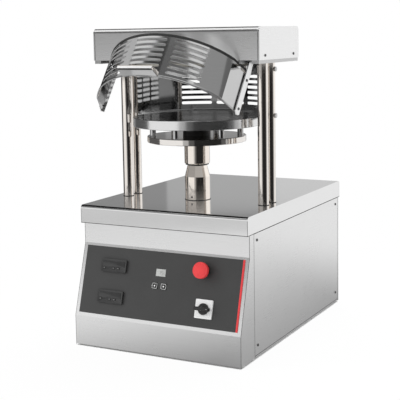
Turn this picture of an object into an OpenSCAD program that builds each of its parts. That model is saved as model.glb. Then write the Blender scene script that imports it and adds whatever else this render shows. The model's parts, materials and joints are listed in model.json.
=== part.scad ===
// Bench-top dough press: a heated plate on a screw-driven lift rises to a heated plate under a fixed head.
// Distances in front (-Y) and behind (+Y) count from the press axis, and heights from the bench.

/* [Cabinet] */
// Width of the cabinet body
body_w = 467; // [450:1:490]
// Distance from the press axis back to the rear of the cabinet
body_back = 432.5; // [415:0.5:450]
// Distance from the press axis forward to the face of the apron
apron_front = 238; // [228:1:250]
// Height of the crease between the apron and the console
apron_top = 79; // [70:1:90]
// Distance that the console leans back over its height
console_run = 54; // [45:1:62]
// Height of the top of the console
console_top = 258; // [250:1:270]
// Depth of the fascia's cheeks behind the upright
cheek_d = 24; // [16:1:34]
// Thickness of the stainless sheet
sheet = 1.2; // [1:0.1:1.4]
// Gap left at the seams between neighbouring sheets
seam = 0.15; // [0.1:0.05:0.3]
// Height of the rubber feet
foot_h = 4; // [3:0.5:10]
// Radius of the rubber feet
foot_r = 20; // [12:1:28]
// Distance from the cabinet's edges in to the centres of the feet
foot_inset = 45; // [35:1:60]
// Height of the bottom tray's upturned edge
tray_edge = 20; // [12:1:30]
// Width of the rear panel's side returns
rear_return = 8; // [6:1:14]

/* [Rear vents] */
// Number of vent slots
vent_count = 9; // [4:1:12]
// Distance between vent slots
vent_pitch = 14; // [12:1:18]
// Length of a vent slot
vent_l = 160; // [100:5:220]
// Height of a vent slot
vent_h = 5; // [3:0.5:7]
// Height of the lowest vent slot
vent_z = 130; // [110:1:150]

/* [Worktop] */
// How far the worktop stands out over each side of the cabinet
worktop_side_over = 1.5; // [0.5:0.5:12]
// How far the worktop stands out over the back of the cabinet
worktop_back_over = 4.5; // [1:0.5:20]
// How far the worktop stands out over the front upright
worktop_front_over = 14; // [6:1:26]
// Height of the worktop
worktop_z = 357; // [350:1:372]
// Depth of the worktop's skirt
skirt = 46; // [36:1:60]
// Bend radius along the worktop's front and back edges
edge_r = 8; // [2:0.5:10]

/* [Inner frame] */
// Width of the square frame tube
tube = 30; // [25:1:35]
// Wall of the square frame tube
tube_wall = 2.5; // [2:0.5:4]
// Distance from the front casing's seam back to the frame
frame_set_back = 6; // [3:0.5:8]
// Thickness of the press bed
bed_t = 18; // [14:1:22]
// Depth of the press bed
bed_d = 190; // [170:1:220]

/* [Columns] */
// From a side of the head to the axes of its columns
column_inset = 35.5; // [30:0.5:38]
// Distance between the front and rear columns
column_pitch = 44.5; // [42:0.5:52]
// Radius of the columns
column_r = 13.5; // [12:0.5:14.5]
// Radius of the studs at the columns' ends
stud_r = 10; // [8:0.5:11]
// Radius of the cable duct in the rear columns
duct_r = 6; // [4:0.5:7]
// Height of the column nuts
nut_h = 14; // [10:1:18]
// Width of the column nuts across their flats
nut_flats = 30; // [26:1:32]
// Length of stud that shows past each nut
stud_over = 3; // [1:0.5:5]
// Room round the lower nuts in the frame's rails
nut_room = 1.5; // [1:0.5:3]

/* [Plates] */
// Gap between the rims of the plates and the columns
plate_gap = 20; // [17:1:30]
// Thickness of the lower plate
lower_plate_t = 24; // [18:1:30]
// Thickness of the upper plate
upper_plate_t = 25; // [18:1:30]
// Travel of the lift
stroke = 105; // [80:1:110]
// Gap left between the plates with the lift fully up
pressed_gap = 2; // [1:0.5:5]
// Inner radius of the heater rings
heater_in = 40; // [30:1:50]
// Gap between the rims of the heaters and the standoffs
heater_gap = 6; // [2:1:16]
// Thickness of the heater rings
heater_t = 3; // [2:0.5:5]
// From the plate's rim in to the rim of the insulating disc
insulation_in = 7; // [3:1:15]
// Thickness of the insulating disc
insulation_t = 6.5; // [5:0.5:10]
// From the plate's rim in to its bolts
plate_bolt_in = 35; // [27:1:41]
// Radius of those bolts
plate_bolt_r = 4; // [3:0.5:5]
// Depth that those bolts reach into the upper plate
plate_bolt_depth = 14; // [10:1:16]
// Least distance from a plate bolt to the front and back of the head
plate_bolt_edge = 20; // [16:1:26]
// Width across the corners of a plate bolt's head
plate_bolt_head_w = 13.6; // [11:0.1:16]
// Height of a plate bolt's head
plate_bolt_head_h = 5.2; // [4:0.1:8]
// Gap under the end of a plate bolt
plate_bolt_end_gap = 1; // [0.5:0.5:3]
// Chamfer on the edges of plates, carrier and hub
plate_edge = 1.2; // [0.4:0.1:2]

/* [Lift] */
// From the plate's rim in to the rim of the carrier disc
carrier_in = 36; // [25:1:43]
// Thickness of the carrier disc
carrier_t = 15.5; // [12:0.5:20]
// Number of standoffs between carrier and lower plate
standoff_count = 6; // [4:1:8]
// Height of the standoffs
standoff_h = 26; // [20:1:32]
// Radius of the standoffs
standoff_r = 8; // [6:0.5:10]
// From the carrier's rim in to the axes of the standoffs
standoff_in = 15; // [13:1:17]
// Radius of the insulating block at the middle
block_r = 36; // [30:1:38]
// Radius of the hub under the carrier
hub_r = 33; // [30:1:38]
// Height of the hub
hub_h = 58; // [50:1:66]
// Gap between the lowered hub and the guide sleeve
lift_gap = 5; // [3:0.5:8]
// Radius of the piston rod
rod_r = 20; // [19:0.5:21]
// Radius of the rod's spigot in the hub
spigot_r = 16; // [14:0.5:17]
// Radius of the lead bore through the rod
rod_bore = 6; // [4:0.5:8]

/* [Guide sleeve] */
// Radius of the guide sleeve
sleeve_r = 33; // [31:0.5:36]
// Height of the sleeve's straight part above the worktop
sleeve_h = 61; // [54:1:70]
// Height of the sleeve's cone
cone_h = 29; // [20:1:34]
// Radius at the top of the cone
cone_top_r = 25.5; // [25:0.5:27]
// Radius of the sleeve's flange under the bed
flange_r = 62; // [58:1:66]
// Thickness of the sleeve's flange
flange_t = 10; // [8:1:14]
// Wall of the guide bushes
bush_wall = 3; // [2:0.5:3]
// Height of each guide bush
bush_h = 28; // [20:1:30]
// Gap round the piston rod between its bushes
rod_room = 0.4; // [0.2:0.1:1]
// Depth of the wiper's seat in the sleeve
wiper_h = 6; // [4:0.5:9]
// Thickness of the wiper ring
wiper_wall = 3; // [2:0.5:4]
// How far the wiper stands out of its seat
wiper_lip = 0.5; // [0.3:0.1:1]
// Height of the sleeve's set-screw hole above the worktop
set_hole_up = 9; // [6:1:14]
// Radius of the sleeve's set-screw hole
set_hole_r = 2.5; // [2:0.5:3]
// Depth of the set-screw hole
set_hole_depth = 5; // [3:0.5:8]

/* [Drive] */
// Radius of the thread's crest on the rod
thread_r = 19.5; // [18.5:0.1:19.6]
// Depth of the thread grooves
thread_depth = 1.5; // [1:0.1:2]
// Distance between thread grooves
thread_pitch = 5; // [4:0.5:8]
// Radius of the rod's plain lower end
rod_foot_r = 17; // [15:0.5:17.5]
// Outer radius of the rotating nut
nut_r = 32; // [29:0.5:34]
// Radius of the nut's collar between the bearings
collar_r = 38; // [36:0.5:40]
// Height of the nut's collar
collar_h = 22; // [16:1:26]
// Gap between the turning nut and the sleeve's flange
nut_top_gap = 1; // [0.5:0.5:3]
// Outer radius of the nut bearings
bearing_r = 50; // [46:0.5:52]
// Height of each nut bearing
bearing_h = 18; // [14:1:20]
// Radius of the nut's pulley
pulley_r = 60; // [50:1:66]
// Width of both pulleys
pulley_w = 20; // [16:1:24]
// Gap between the nut's pulley and the bearing housing
pulley_gap = 3; // [2:0.5:5]
// Height of a pulley's flanges over its rim
pulley_flange = 3; // [2:0.5:5]
// Thickness of a pulley's flanges
pulley_flange_t = 1.5; // [1:0.1:2.5]
// Distance from the press axis back to the motor
motor_y = 235; // [220:1:260]
// Radius of the motor's casing over its ribs
motor_r = 68; // [60:1:74]
// Height of the motor's casing
motor_h = 150; // [120:1:160]
// Number of ribs on the motor's casing
motor_ribs = 24; // [12:2:36]
// Height of the motor's cooling ribs
motor_rib_h = 8; // [5:0.5:12]
// Thickness of a cooling rib
motor_rib_t = 3; // [2:0.5:4]
// How far the ribs stay below the end shields
motor_rib_low = 1; // [0.5:0.5:3]
// Height of the motor's lower end shield
motor_tail_h = 26; // [18:1:34]
// Height of the motor's upper end shield
motor_cap_h = 10; // [7:1:16]
// Width of the motor's terminal box
motor_box_w = 64; // [50:1:76]
// Height of the motor's terminal box
motor_box_h = 60; // [46:1:64]
// How far the terminal box stands out of the motor
motor_box_out = 22; // [14:1:30]
// How deep the terminal box sits in the ribs
motor_box_sink = 12; // [10:1:16]
// Height of the terminal box over the motor's lower end
motor_box_z = 50; // [36:1:56]
// Height of the shaft's lower end over the motor's lower end
motor_shaft_z = 30; // [20:1:40]
// How far the motor's shaft stands out over its pulley
motor_shaft_over = 4; // [2:0.5:8]
// Radius of the motor's pulley
motor_pulley_r = 30; // [26:1:36]
// Radius of the motor's shaft
shaft_r = 9.5; // [8:0.5:11]
// Thickness of the motor's hanger
hanger_t = 5; // [4:0.5:8]
// Distance from the pulleys down to the motor's hanger
hanger_drop = 16; // [12:1:24]
// Gap between the motor's hanger and the side panels' flanges
hanger_side_gap = 4; // [2:0.5:8]
// Margin of the hanger's plate round the motor
hanger_margin = 6; // [3:0.5:12]
// Gap round the shaft in the hanger
hanger_hole_room = 6; // [3:0.5:10]
// Length of thread above the nut
thread_over = 6; // [3:0.5:8]
// Thickness of the drive belt
belt_t = 4; // [3:0.5:6]
// Gap between belt and pulleys
belt_fit = 0.3; // [0.2:0.1:0.5]
// Gap between belt and pulley flanges
belt_edge_gap = 0.5; // [0.3:0.1:1.5]
// Distance from the press axis sideways to the anti-rotation guide rod
guide_rod_x = 92; // [88:1:100]
// Radius of the guide rod
guide_rod_r = 8; // [6:0.5:9]
// Step of the guide rod where it goes through the bed
guide_rod_step = 2; // [1:0.5:3]
// How far the guide rod goes on below the torque arm
guide_rod_over = 8; // [4:1:16]
// Height of the anti-rotation arm
torque_arm_h = 18; // [14:1:22]
// Room left between the raised arm and the nut's pulley
torque_arm_room = 4; // [3:0.5:8]
// Wall of the arm's eye round the guide rod
torque_eye_wall = 6; // [4:0.5:8]
// Wall round the piston in the torque arm
torque_hub_wall = 12; // [8:1:18]
// How much narrower the arm's web is than its eye, each side
torque_web_in = 3; // [1:0.5:5]
// Running clearance of turning and sliding fits, on the radius
run_fit = 0.05; // [0.03:0.01:0.08]

/* [Head] */
// How far each side of the head stands out over the cabinet's side
head_side_over = 0.5; // [0:0.5:12]
// Depth of the head
head_d = 248; // [235:1:262]
// Distance from the press axis forward to the head's front
head_front = 119.5; // [112:0.5:126]
// Height of the head cover
head_h = 80.5; // [74:0.5:92]
// Bend radius along the head's top edges
head_edge_r = 12; // [6:1:16]
// Thickness of the head's side plates
side_t = 2; // [1.5:0.5:3]
// Thickness of the crosshead plate
crosshead_t = 8.5; // [7:0.5:12]
// Height of the crosshead's ribs
rib_h = 48; // [36:1:54]
// Thickness of the crosshead's ribs
rib_t = 8; // [6:0.5:10]
// Distance from the press axis to each rib's middle
rib_y = 45; // [38:1:52]
// From a column's axis to the end of a rib
rib_end_gap = 36.5; // [34.5:0.5:58]
// Outer radius of the hinge lugs round their pins
lug_r = 13; // [11:0.5:15]
// Distance between the hinge lugs and the guard arms
lug_gap = 9; // [6:0.5:10]
// Width of the notches that let the guard arms through the crosshead
notch_w = 28; // [24:1:32]
// Room between a guard arm and the inner side of its notch
notch_in = 4; // [3:0.5:6]
// Distance from the head's front and back in to its side screws
head_screw_in = 35; // [20:1:50]
// Height of the head's side screws above the crosshead
head_screw_up = 11; // [8:0.5:16]

/* [Front guard] */
// Gap between the plates' rim and the outside of the front guard
guard_gap = 31; // [28:0.5:35]
// Gap between the closed guard's arms and the front columns
arm_room = 6.2; // [3:0.1:10]
// Angle that the curve reaches to each side
guard_half = 62; // [59:0.5:63]
// Length of each end panel
guard_end_l = 55.5; // [52:0.5:58]
// Angle of the end panels away from straight back
guard_end_angle = 17; // [14:0.5:18]
// Length of the flat tail behind each end panel
guard_tail = 13; // [10:0.5:15]
// Thickness of the guard sheets
guard_t = 1.5; // [1:0.1:2]
// Height of the guard's curved sheet
guard_h = 120; // [110:1:126]
// Height that the end panels stop short of the curved sheet
guard_end_drop = 13; // [8:1:20]
// Distance from the hinge axis down to the guard's upper rim
guard_rim_down = 56; // [52:1:62]
// Angle that the guard is raised in the rest pose
guard_open = 36.5; // [30:0.5:38]
// Distance from the press axis forward to the hinge axis
pivot_front = 56; // [52:0.5:60]
// Height of the hinge axis above the crosshead
pivot_up = 19.5; // [17:0.5:24]
// Radius of the hinge pins
pivot_r = 5; // [4:0.5:6]
// Height of the hinge pins' heads, and how far heads and collars stand out round the pins
pin_head = 3; // [2:0.5:3.5]
// Thickness of the guard arms
arm_t = 3; // [2:0.5:4]
// Width of the guard arms at the guard
arm_w = 22; // [18:1:24]
// Width of the guard arms at the hinge
arm_eye_w = 18; // [16:1:20]
// Distance that the arms' tips reach below the guard
arm_tip = 4; // [2:0.5:8]
// Height of the arms' pointed tips
arm_point = 6; // [4:0.5:9]
// Distance from the arms' rear edge in to their screws
arm_screw_in = 10; // [7:0.5:12]
// Distance from the ends of the end panels to the arms' screws
arm_screw_end = 13; // [9:0.5:18]
// Width of the handle lip
handle_w = 94; // [80:1:110]
// Depth of the handle lip
handle_d = 28; // [22:1:34]
// Height of the lip's upturned edge
handle_lip = 8; // [5:0.5:12]

/* [Guard slots] */
// Rows of slots in each guard
slot_rows = 7; // [5:1:7]
// Height of a slot
slot_h = 8; // [6:0.5:9]
// Length of a slot
slot_l = 84; // [70:1:86]
// Distance between rows
slot_pitch = 14.7; // [13:0.1:15]
// Web between two columns of slots
slot_web = 20.3; // [14:0.1:28]
// Height of the lowest row in the rear guard above the lowered plate
rear_row_up = 20.5; // [16:0.5:26]
// Height that the rear guard reaches below the lowered plate's face
rear_guard_down = 9; // [4:0.5:14]
// How far the rear guard's ends run forward past its screws
rear_guard_lap = 12; // [8:1:16]

/* [Controls] */
// From a side of the cabinet to the edge of the panel
panel_in = 10.5; // [7.5:0.5:18]
// Distance from the console's crease up to the panel
panel_s = 9; // [6:0.5:12]
// Height of the panel along the console
panel_h = 171.5; // [165:0.5:174]
// Thickness of the panel
panel_t = 1.5; // [1:0.1:2]
// Width of a temperature controller's bezel
bezel_w = 74; // [70:1:80]
// Height of a temperature controller's bezel
bezel_h = 32; // [30:1:36]
// Height of the bezels above the panel
bezel_rise = 6; // [4:0.5:8]
// Depth of a controller behind the panel
controller_d = 58; // [45:1:65]
// Wall between a bezel's edge and the body behind it
bezel_lip = 3; // [2:0.5:4]
// From the panel's left edge to the axis of the controllers
controller_in = 88; // [78:1:103]
// Place of the upper controller along the console
controller_s_upper = 134; // [126:1:142]
// Place of the lower controller along the console
controller_s_lower = 56; // [48:1:64]
// Width of the timer display
display_w = 27; // [24:0.5:32]
// Height of the timer display
display_h = 18; // [14:0.5:22]
// Place of the timer display along the console
display_s = 129; // [124:1:136]
// Width of the timer buttons
button_w = 16; // [12:0.5:18]
// Height of the timer buttons
button_h = 15; // [9:0.5:17]
// Distance between the timer buttons
button_pitch = 25; // [22:0.5:30]
// Place of the timer buttons along the console
button_s = 96; // [90:1:104]
// Height of the timer buttons above the panel
button_rise = 1.6; // [1.2:0.1:2.5]
// Clearance round the timer buttons
button_gap = 0.3; // [0.2:0.05:0.5]
// Travel of the timer buttons
button_travel = 0.7; // [0.4:0.1:0.8]
// Radius of the stems behind the timer buttons
button_stem_r = 2; // [1.5:0.25:3]
// Distance from the console's sheet back to the timer's board
timer_set_back = 4; // [3:0.5:6]
// Depth of the timer behind its board's face
timer_d = 16; // [12:1:24]
// Room from the display and the buttons out to the board's edges
timer_edge = 7; // [4:0.5:10]
// From the panel's right edge to the emergency stop
estop_in = 104; // [93:1:113]
// Place of the emergency stop along the console
estop_s = 144.5; // [136:0.5:150]
// Radius of the emergency stop's mushroom
estop_r = 20; // [16:0.5:22]
// Height of the mushroom's cap
estop_cap_h = 15; // [12:0.5:18]
// Thickness of the mushroom's crown above its stem
estop_crown = 7; // [5:0.5:8]
// Height of the mushroom's underside above the panel
estop_up = 14; // [11:0.5:16]
// Radius of the emergency stop's collar
estop_collar_r = 15; // [13:0.5:16]
// Radius of the emergency stop's stem
estop_stem_r = 6; // [5:0.5:7]
// Wall of the emergency stop's barrel round its stem
estop_barrel_wall = 5; // [4:0.5:7]
// Length of that barrel behind the casing
estop_barrel_l = 16; // [12:1:20]
// Height of the collar on the panel
estop_collar_h = 4; // [3:0.5:6]
// Width of the contact block
estop_block_w = 30; // [26:1:36]
// Height of the contact block
estop_block_h = 40; // [34:1:48]
// Depth of the contact block
estop_block_d = 35; // [26:1:42]
// Depth of the stem's bore behind the casing
estop_bore_in = 25; // [22:1:30]
// Height of the mushroom's rim
estop_rim_h = 11; // [5:0.1:11]
// Rounding of the mushroom's lower rim
estop_rim_r = 2; // [1:0.25:3]
// From the panel's right edge to the main switch
switch_in = 93; // [85:1:101]
// Place of the main switch along the console
switch_s = 54; // [46:1:62]
// Width of the main switch's square plate
switch_w = 46; // [42:0.5:50]
// Thickness of the main switch's plate
switch_t = 4; // [3:0.5:6]
// Radius of the main switch's knob
knob_r = 14; // [13:0.5:19]
// Height of the knob with its grip
knob_h = 16; // [12:0.5:20]
// Width of the knob's grip
grip_w = 9; // [7:0.5:11]
// Length of the knob's grip
grip_l = 40; // [32:0.5:42]
// Radius of the knob's spindle
spindle_r = 4; // [3:0.5:5]
// Length of the knob's spindle behind the casing
spindle_in = 18; // [12:1:19]
// Wall of the switch's barrel round its spindle
switch_barrel_wall = 6; // [4:0.5:8]
// Width of the switch's block
switch_block_w = 38; // [32:1:44]
// Depth of the switch's block
switch_block_d = 46; // [34:1:56]
// Depth of the spindle's bore behind the casing
switch_bore_in = 20; // [20:1:28]
// Gap between knob and switch plate
knob_gap = 0.3; // [0.2:0.1:0.5]
// Height of the knob's round base
knob_base_h = 4; // [3:0.5:6]

/* [Fittings] */
// Radius of a casing screw's head
screw_head_r = 3.5; // [3:0.5:5]
// Height of a casing screw's head
screw_head_h = 1.8; // [1.2:0.1:2.5]
// Radius of a casing screw's shank
screw_r = 2; // [1.5:0.25:2.5]
// Length of a casing screw's shank
screw_l = 7; // [5:0.5:9]
// Radius of a rear guard screw's shank
cross_screw_r = 3; // [2.5:0.25:3.5]
// Height of the rear guard's lower screws above the lowered plate
cross_screw_low = 4; // [2:0.5:8]
// Height of the rear guard's upper screws above the upper plate's face
cross_screw_high = 14; // [8:0.5:18]
// Height of a rear guard screw's head and nut
cross_head_h = 4; // [3:0.5:5]
// Radius of the cross screws' heads and nuts
cross_head_r = 6; // [4.5:0.25:8]
// Distance from a side panel's edges in to its screws
screw_inset = 18; // [14:1:24]
// Radius of the cable bore through the gland
gland_bore = 5; // [3:0.5:6]
// Wall of the gland's barrel
gland_wall = 3; // [2:0.5:4]
// Distance that the gland stands out behind the cabinet
gland_l = 14; // [10:1:20]
// Distance that the gland's barrel reaches in behind the rear panel
gland_in = 9; // [7:0.5:14]
// Wall of the gland's hexagons round its barrel
gland_nut_wall = 5; // [4:0.5:7]
// Height of the gland's inner nut
gland_nut_h = 5; // [4:0.5:7]
// Wall of the gland's clamping cap round its barrel
gland_cap_wall = 3; // [2:0.5:3.5]
// Height of the cap's tapered end
gland_cap_taper = 3; // [2:0.5:5]
// From a side of the cabinet to the cable entry
gland_inset = 83.5; // [63:0.5:103]
// Height of the gland
gland_z = 60; // [45:1:80]
// Width of a contactor
contactor_w = 45; // [36:1:50]
// Depth of a contactor
contactor_d = 70; // [60:1:80]
// Height of a contactor
contactor_h = 82; // [70:1:90]
// Height of a contactor's terminal ledges
contactor_ledge = 49.2; // [36:0.1:60]
// Distance between the contactors
contactor_pitch = 52; // [51:1:60]
// From a side of the cabinet to the axis of the contactors
contactor_inset = 83.5; // [78:0.5:98]

/* [Hidden] */
$fn = 64;
eps = 0.5;

// Widths, from the cabinet out to the head, its columns and the plates between them
worktop_w = body_w + 2 * worktop_side_over;
head_w = body_w + 2 * head_side_over;
column_x = head_w / 2 - column_inset;
column_half = column_pitch / 2;
plate_r = column_x - column_r - plate_gap;
insulation_r = plate_r - insulation_in;
plate_bolt_pcr = plate_r - plate_bolt_in;
plate_bolt_room = min(head_front, head_d - head_front) - plate_bolt_edge;
plate_bolt_y = min(plate_bolt_pcr * sin(45), plate_bolt_room);
plate_bolt_x = sqrt(pow(plate_bolt_pcr, 2) - pow(plate_bolt_y, 2));
carrier_r = plate_r - carrier_in;
standoff_pcr = carrier_r - standoff_in;
heater_out = standoff_pcr - standoff_r - heater_gap;
rib_half = column_x - rib_end_gap;
panel_half = body_w / 2 - panel_in;
controller_x = -panel_half + controller_in;
estop_x = panel_half - estop_in;
switch_x = panel_half - switch_in;
gland_x = -body_w / 2 + gland_inset;
contactor_x = -body_w / 2 + contactor_inset;

// Depths
upright_y = -apron_front + console_run;
cheek_back = -upright_y - cheek_d;
worktop_front = -upright_y + worktop_front_over;
worktop_back = body_back + worktop_back_over;
worktop_d = worktop_front + worktop_back;

// Heights
bed_top = worktop_z - sheet;
bed_z = bed_top - bed_t;
sleeve_top = worktop_z + sleeve_h;
cone_top = sleeve_top + cone_h;
hub_z = cone_top + lift_gap;
carrier_z = hub_z + hub_h;
standoff_z = carrier_z + carrier_t;
plate_z = standoff_z + standoff_h;
plate_top = plate_z + lower_plate_t;
upper_z = plate_top + stroke + pressed_gap;
upper_top = upper_z + upper_plate_t;
crosshead_z = upper_top + insulation_t;
head_z = crosshead_z + crosshead_t;
head_top = head_z + head_h;
pivot_z = head_z + pivot_up;
guard_top = pivot_z - guard_rim_down;
guard_z = guard_top - guard_h;
inner_half = body_w / 2 - sheet;
tray_z = foot_h + sheet;
casing_top = bed_top - (edge_r - sheet) - seam;

// The console's plane: x sideways, s up the slope from the crease, n out of the face
console_rise = console_top - apron_top;
console_tilt = atan(console_run / console_rise);

// The guard's outline, closed: the bend at the end of the curve, then the end of the end panel
guard_r = plate_r + guard_gap;
arm_end_y = -column_half - column_r - arm_room - guard_tail;
guard_centre = guard_end_l * cos(guard_end_angle) - arm_end_y - guard_r * cos(guard_half);
slot_step = (slot_l + slot_web) / guard_r * 180 / PI;
bend_lap = 0.6;
slot_cut = 10;
bend_x = guard_r * sin(guard_half);
bend_y = -guard_centre - guard_r * cos(guard_half);
end_x = bend_x + guard_end_l * sin(guard_end_angle);
end_y = bend_y + guard_end_l * cos(guard_end_angle);
arm_x = end_x;
arm_back = end_y + guard_tail;
arm_low = guard_z - arm_tip;
lug_x = arm_x - lug_gap - rib_t;
notch_x = arm_x - notch_in;

// The raised handle's reach sets how far the whole part is moved back to stand over the origin
handle_dy = pivot_front - guard_centre - guard_r - handle_d;
handle_dz = guard_z - pivot_z;
front_reach = -pivot_front + handle_dy * cos(guard_open) + handle_dz * sin(guard_open);
back_reach = max(worktop_back, body_back + gland_l);
origin_y = -(front_reach + back_reach) / 2;

// The drive's stack under the bed, from the sleeve's flange down
flange_z = bed_z - flange_t;
housing_h = 2 * bearing_h + collar_h + 2 * seam;
housing_z = flange_z - housing_h;
pulley_z = housing_z - pulley_gap - pulley_w;
bearing_low_z = housing_z;
collar_z = bearing_low_z + bearing_h + seam;
bearing_high_z = collar_z + collar_h + seam;
torque_arm_z = pulley_z - stroke - torque_arm_h - torque_arm_room;
thread_z = torque_arm_z + torque_arm_h;
thread_top = flange_z + thread_over;
hanger_z = pulley_z - hanger_drop;
belt_edge = pulley_flange_t + belt_edge_gap;
motor_z = hanger_z - motor_h;

// Rear guard and its rows
rear_r = column_x - column_r - seam;
rear_guard_z = plate_top - rear_guard_down;
rear_guard_top = crosshead_z - seam;
cross_screw_z = [plate_top + cross_screw_low, upper_z + cross_screw_high];

// Shared shapes

module placed() {
    translate([0, origin_y, 0]) children();
}

module mirrored_x() {
    children();
    mirror([1, 0, 0]) children();
}

module ring(outer, inner, h) {
    difference() {
        cylinder(r = outer, h = h);
        translate([0, 0, -eps]) cylinder(r = inner, h = h + 2 * eps);
    }
}

// Round plate with a chamfer on both edges
module edged_disc(r, h) {
    translate([0, 0, plate_edge]) cylinder(r = r, h = h - 2 * plate_edge, $fn = 128);
    cylinder(r1 = r - plate_edge, r2 = r, h = plate_edge, $fn = 128);
    translate([0, 0, h - plate_edge]) cylinder(r1 = r, r2 = r - plate_edge, h = plate_edge, $fn = 128);
}

module slab(x0, x1, y0, y1, z0, z1) {
    translate([x0, y0, z0]) cube([x1 - x0, y1 - y0, z1 - z0]);
}

// Upright outline with rounded upper corners, standing on its lower edge
module round_top(w, h, r) {
    translate([-w / 2, 0]) square([w, h - r]);
    translate([-w / 2 + r, 0]) square([w - 2 * r, h]);
    for (side = [-1, 1]) translate([side * (w / 2 - r), h - r]) circle(r = r);
}

// Box with rounded upper edges at the front and the back, and flat sides
module round_top_box(w, d, h, r) {
    translate([-w / 2, 0, 0]) rotate([90, 0, 90]) linear_extrude(w) round_top(d, h, r);
}

// Frame whose XY plane lies on the console's face, with Z pointing out of it
module on_console(x, s) {
    translate([0, -apron_front, apron_top]) rotate([90 - console_tilt, 0, 0]) translate([x, s, 0]) children();
}

module console_block(w, h, n0, n1) {
    translate([-w / 2, -h / 2, n0]) cube([w, h, n1 - n0]);
}

// Outline with round ends, centred, lying along X
module slot_outline(l, h) {
    square([l - h, h], center = true);
    for (side = [-1, 1]) translate([side * (l - h) / 2, 0]) circle(d = h, $fn = 24);
}

// Rows and columns of slots through a curved sheet, about the curve's own axis
module slot_field(radius, row_z) {
    for (column = [-1, 0, 1]) for (row = [0 : slot_rows - 1])
        rotate([0, 0, column * slot_step]) translate([0, radius + slot_cut, row_z + row * slot_pitch])
            rotate([90, 0, 0]) linear_extrude(3 * slot_cut) slot_outline(slot_l, slot_h);
}

module casing_screw() {
    cylinder(r = screw_head_r, h = screw_head_h, $fn = 24);
    translate([0, 0, -screw_l]) cylinder(r = screw_r, h = screw_l + eps, $fn = 24);
}

module at_columns(y_sides) {
    for (x_side = [-1, 1]) for (y_side = y_sides)
        translate([x_side * column_x, y_side * column_half, 0]) children();
}

// Cabinet

module tray_foot_places() {
    for (side = [-1, 1]) for (y = [-apron_front + foot_inset, body_back - foot_inset])
        translate([side * (body_w / 2 - foot_inset), y, 0]) children();
}

module feet() {
    color("#202020") placed() tray_foot_places() cylinder(r = foot_r, h = foot_h);
}

module bottom_tray() {
    x = inner_half - seam;
    y0 = -apron_front + sheet + seam;
    y1 = body_back - sheet - seam;
    color("#9a9c9e") placed() difference() {
        slab(-x, x, y0, y1, foot_h, foot_h + tray_edge);
        slab(-x + sheet, x - sheet, y0 + sheet, y1 - sheet, tray_z, foot_h + tray_edge + eps);
    }
}

module base_frame_tube(size, place) {
    translate(place) difference() {
        cube(size);
        translate([tube_wall, tube_wall, tube_wall]) cube(size - 2 * tube_wall * [1, 1, 1]);
    }
}

module base_frame() {
    x = inner_half - seam - sheet - seam;
    front = -cheek_back + frame_set_back;
    back = body_back - 2 * (sheet + seam);
    rail_z = bed_z - tube;
    color("#6f7173") placed() difference() {
        mirrored_x() {
            for (y = [front, back - tube])
                base_frame_tube([tube, tube, rail_z - tray_z], [x - tube, y, tray_z]);
            base_frame_tube([tube, back - front, tube], [x - tube, front, rail_z]);
            for (y = [front, back - tube])
                base_frame_tube([x - tube + eps, tube, tube], [-eps, y, rail_z]);
        }
        at_columns([-1, 1]) translate([0, 0, bed_z - nut_h - stud_over - nut_room])
            cylinder(d = nut_flats / cos(30) + 2 * nut_room, h = nut_h + stud_over + nut_room + eps);
        mirrored_x() side_panel_screw_places() translate([x - tube / 2, 0, 0]) rotate([0, 90, 0])
            cylinder(r = screw_r + seam, h = tube, $fn = 24);
    }
}

module fascia_outline(inset, y_back, z_low, z_high) {
    turn = inset * tan(console_tilt / 2);
    polygon([
        [-apron_front + inset, z_low],
        [-apron_front + inset, apron_top - turn],
        [upright_y + inset, console_top - turn],
        [upright_y + inset, z_high],
        [y_back, z_high],
        [y_back, z_low]
    ]);
}

module across(half) {
    translate([-half, 0, 0]) rotate([90, 0, 90]) linear_extrude(2 * half) children();
}

module front_fascia() {
    color("#c9cacb") placed() difference() {
        across(body_w / 2) fascia_outline(0, -cheek_back - seam, foot_h, casing_top);
        across(inner_half) fascia_outline(sheet, -cheek_back + eps, foot_h - eps, casing_top + eps);
        console_cutouts(-sheet - eps, eps);
    }
}

module side_panel_screw_places() {
    for (y = [-cheek_back + screw_inset, body_back - rear_return - screw_inset])
        for (z = [foot_h + tray_edge + screw_inset / 2, worktop_z - skirt - screw_inset])
            translate([0, y, z]) children();
}

module right_panel_shape() {
    difference() {
        slab(inner_half, body_w / 2, -cheek_back + seam, body_back - rear_return - seam, tray_z, casing_top);
        side_panel_screw_places() translate([inner_half - eps, 0, 0]) rotate([0, 90, 0])
            cylinder(r = screw_r + seam, h = sheet + 2 * eps, $fn = 24);
    }
}

module right_side_panel() {
    color("#c4c5c6") placed() right_panel_shape();
}

module left_side_panel() {
    color("#c4c5c6") placed() mirror([1, 0, 0]) right_panel_shape();
}

module rear_panel() {
    y = body_back - rear_return;
    color("#bcbdbe") placed() difference() {
        slab(-body_w / 2, body_w / 2, y, body_back, foot_h, casing_top);
        slab(-inner_half, inner_half, y - eps, body_back - sheet, foot_h - eps, casing_top + eps);
        for (row = [0 : vent_count - 1])
            translate([0, body_back + eps, vent_z + row * vent_pitch]) rotate([90, 0, 0])
                linear_extrude(sheet + 2 * eps) slot_outline(vent_l, vent_h);
        translate([gland_x, body_back + eps, gland_z]) rotate([90, 0, 0])
            cylinder(r = gland_bore + gland_wall + seam, h = sheet + 2 * eps);
    }
}

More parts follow.
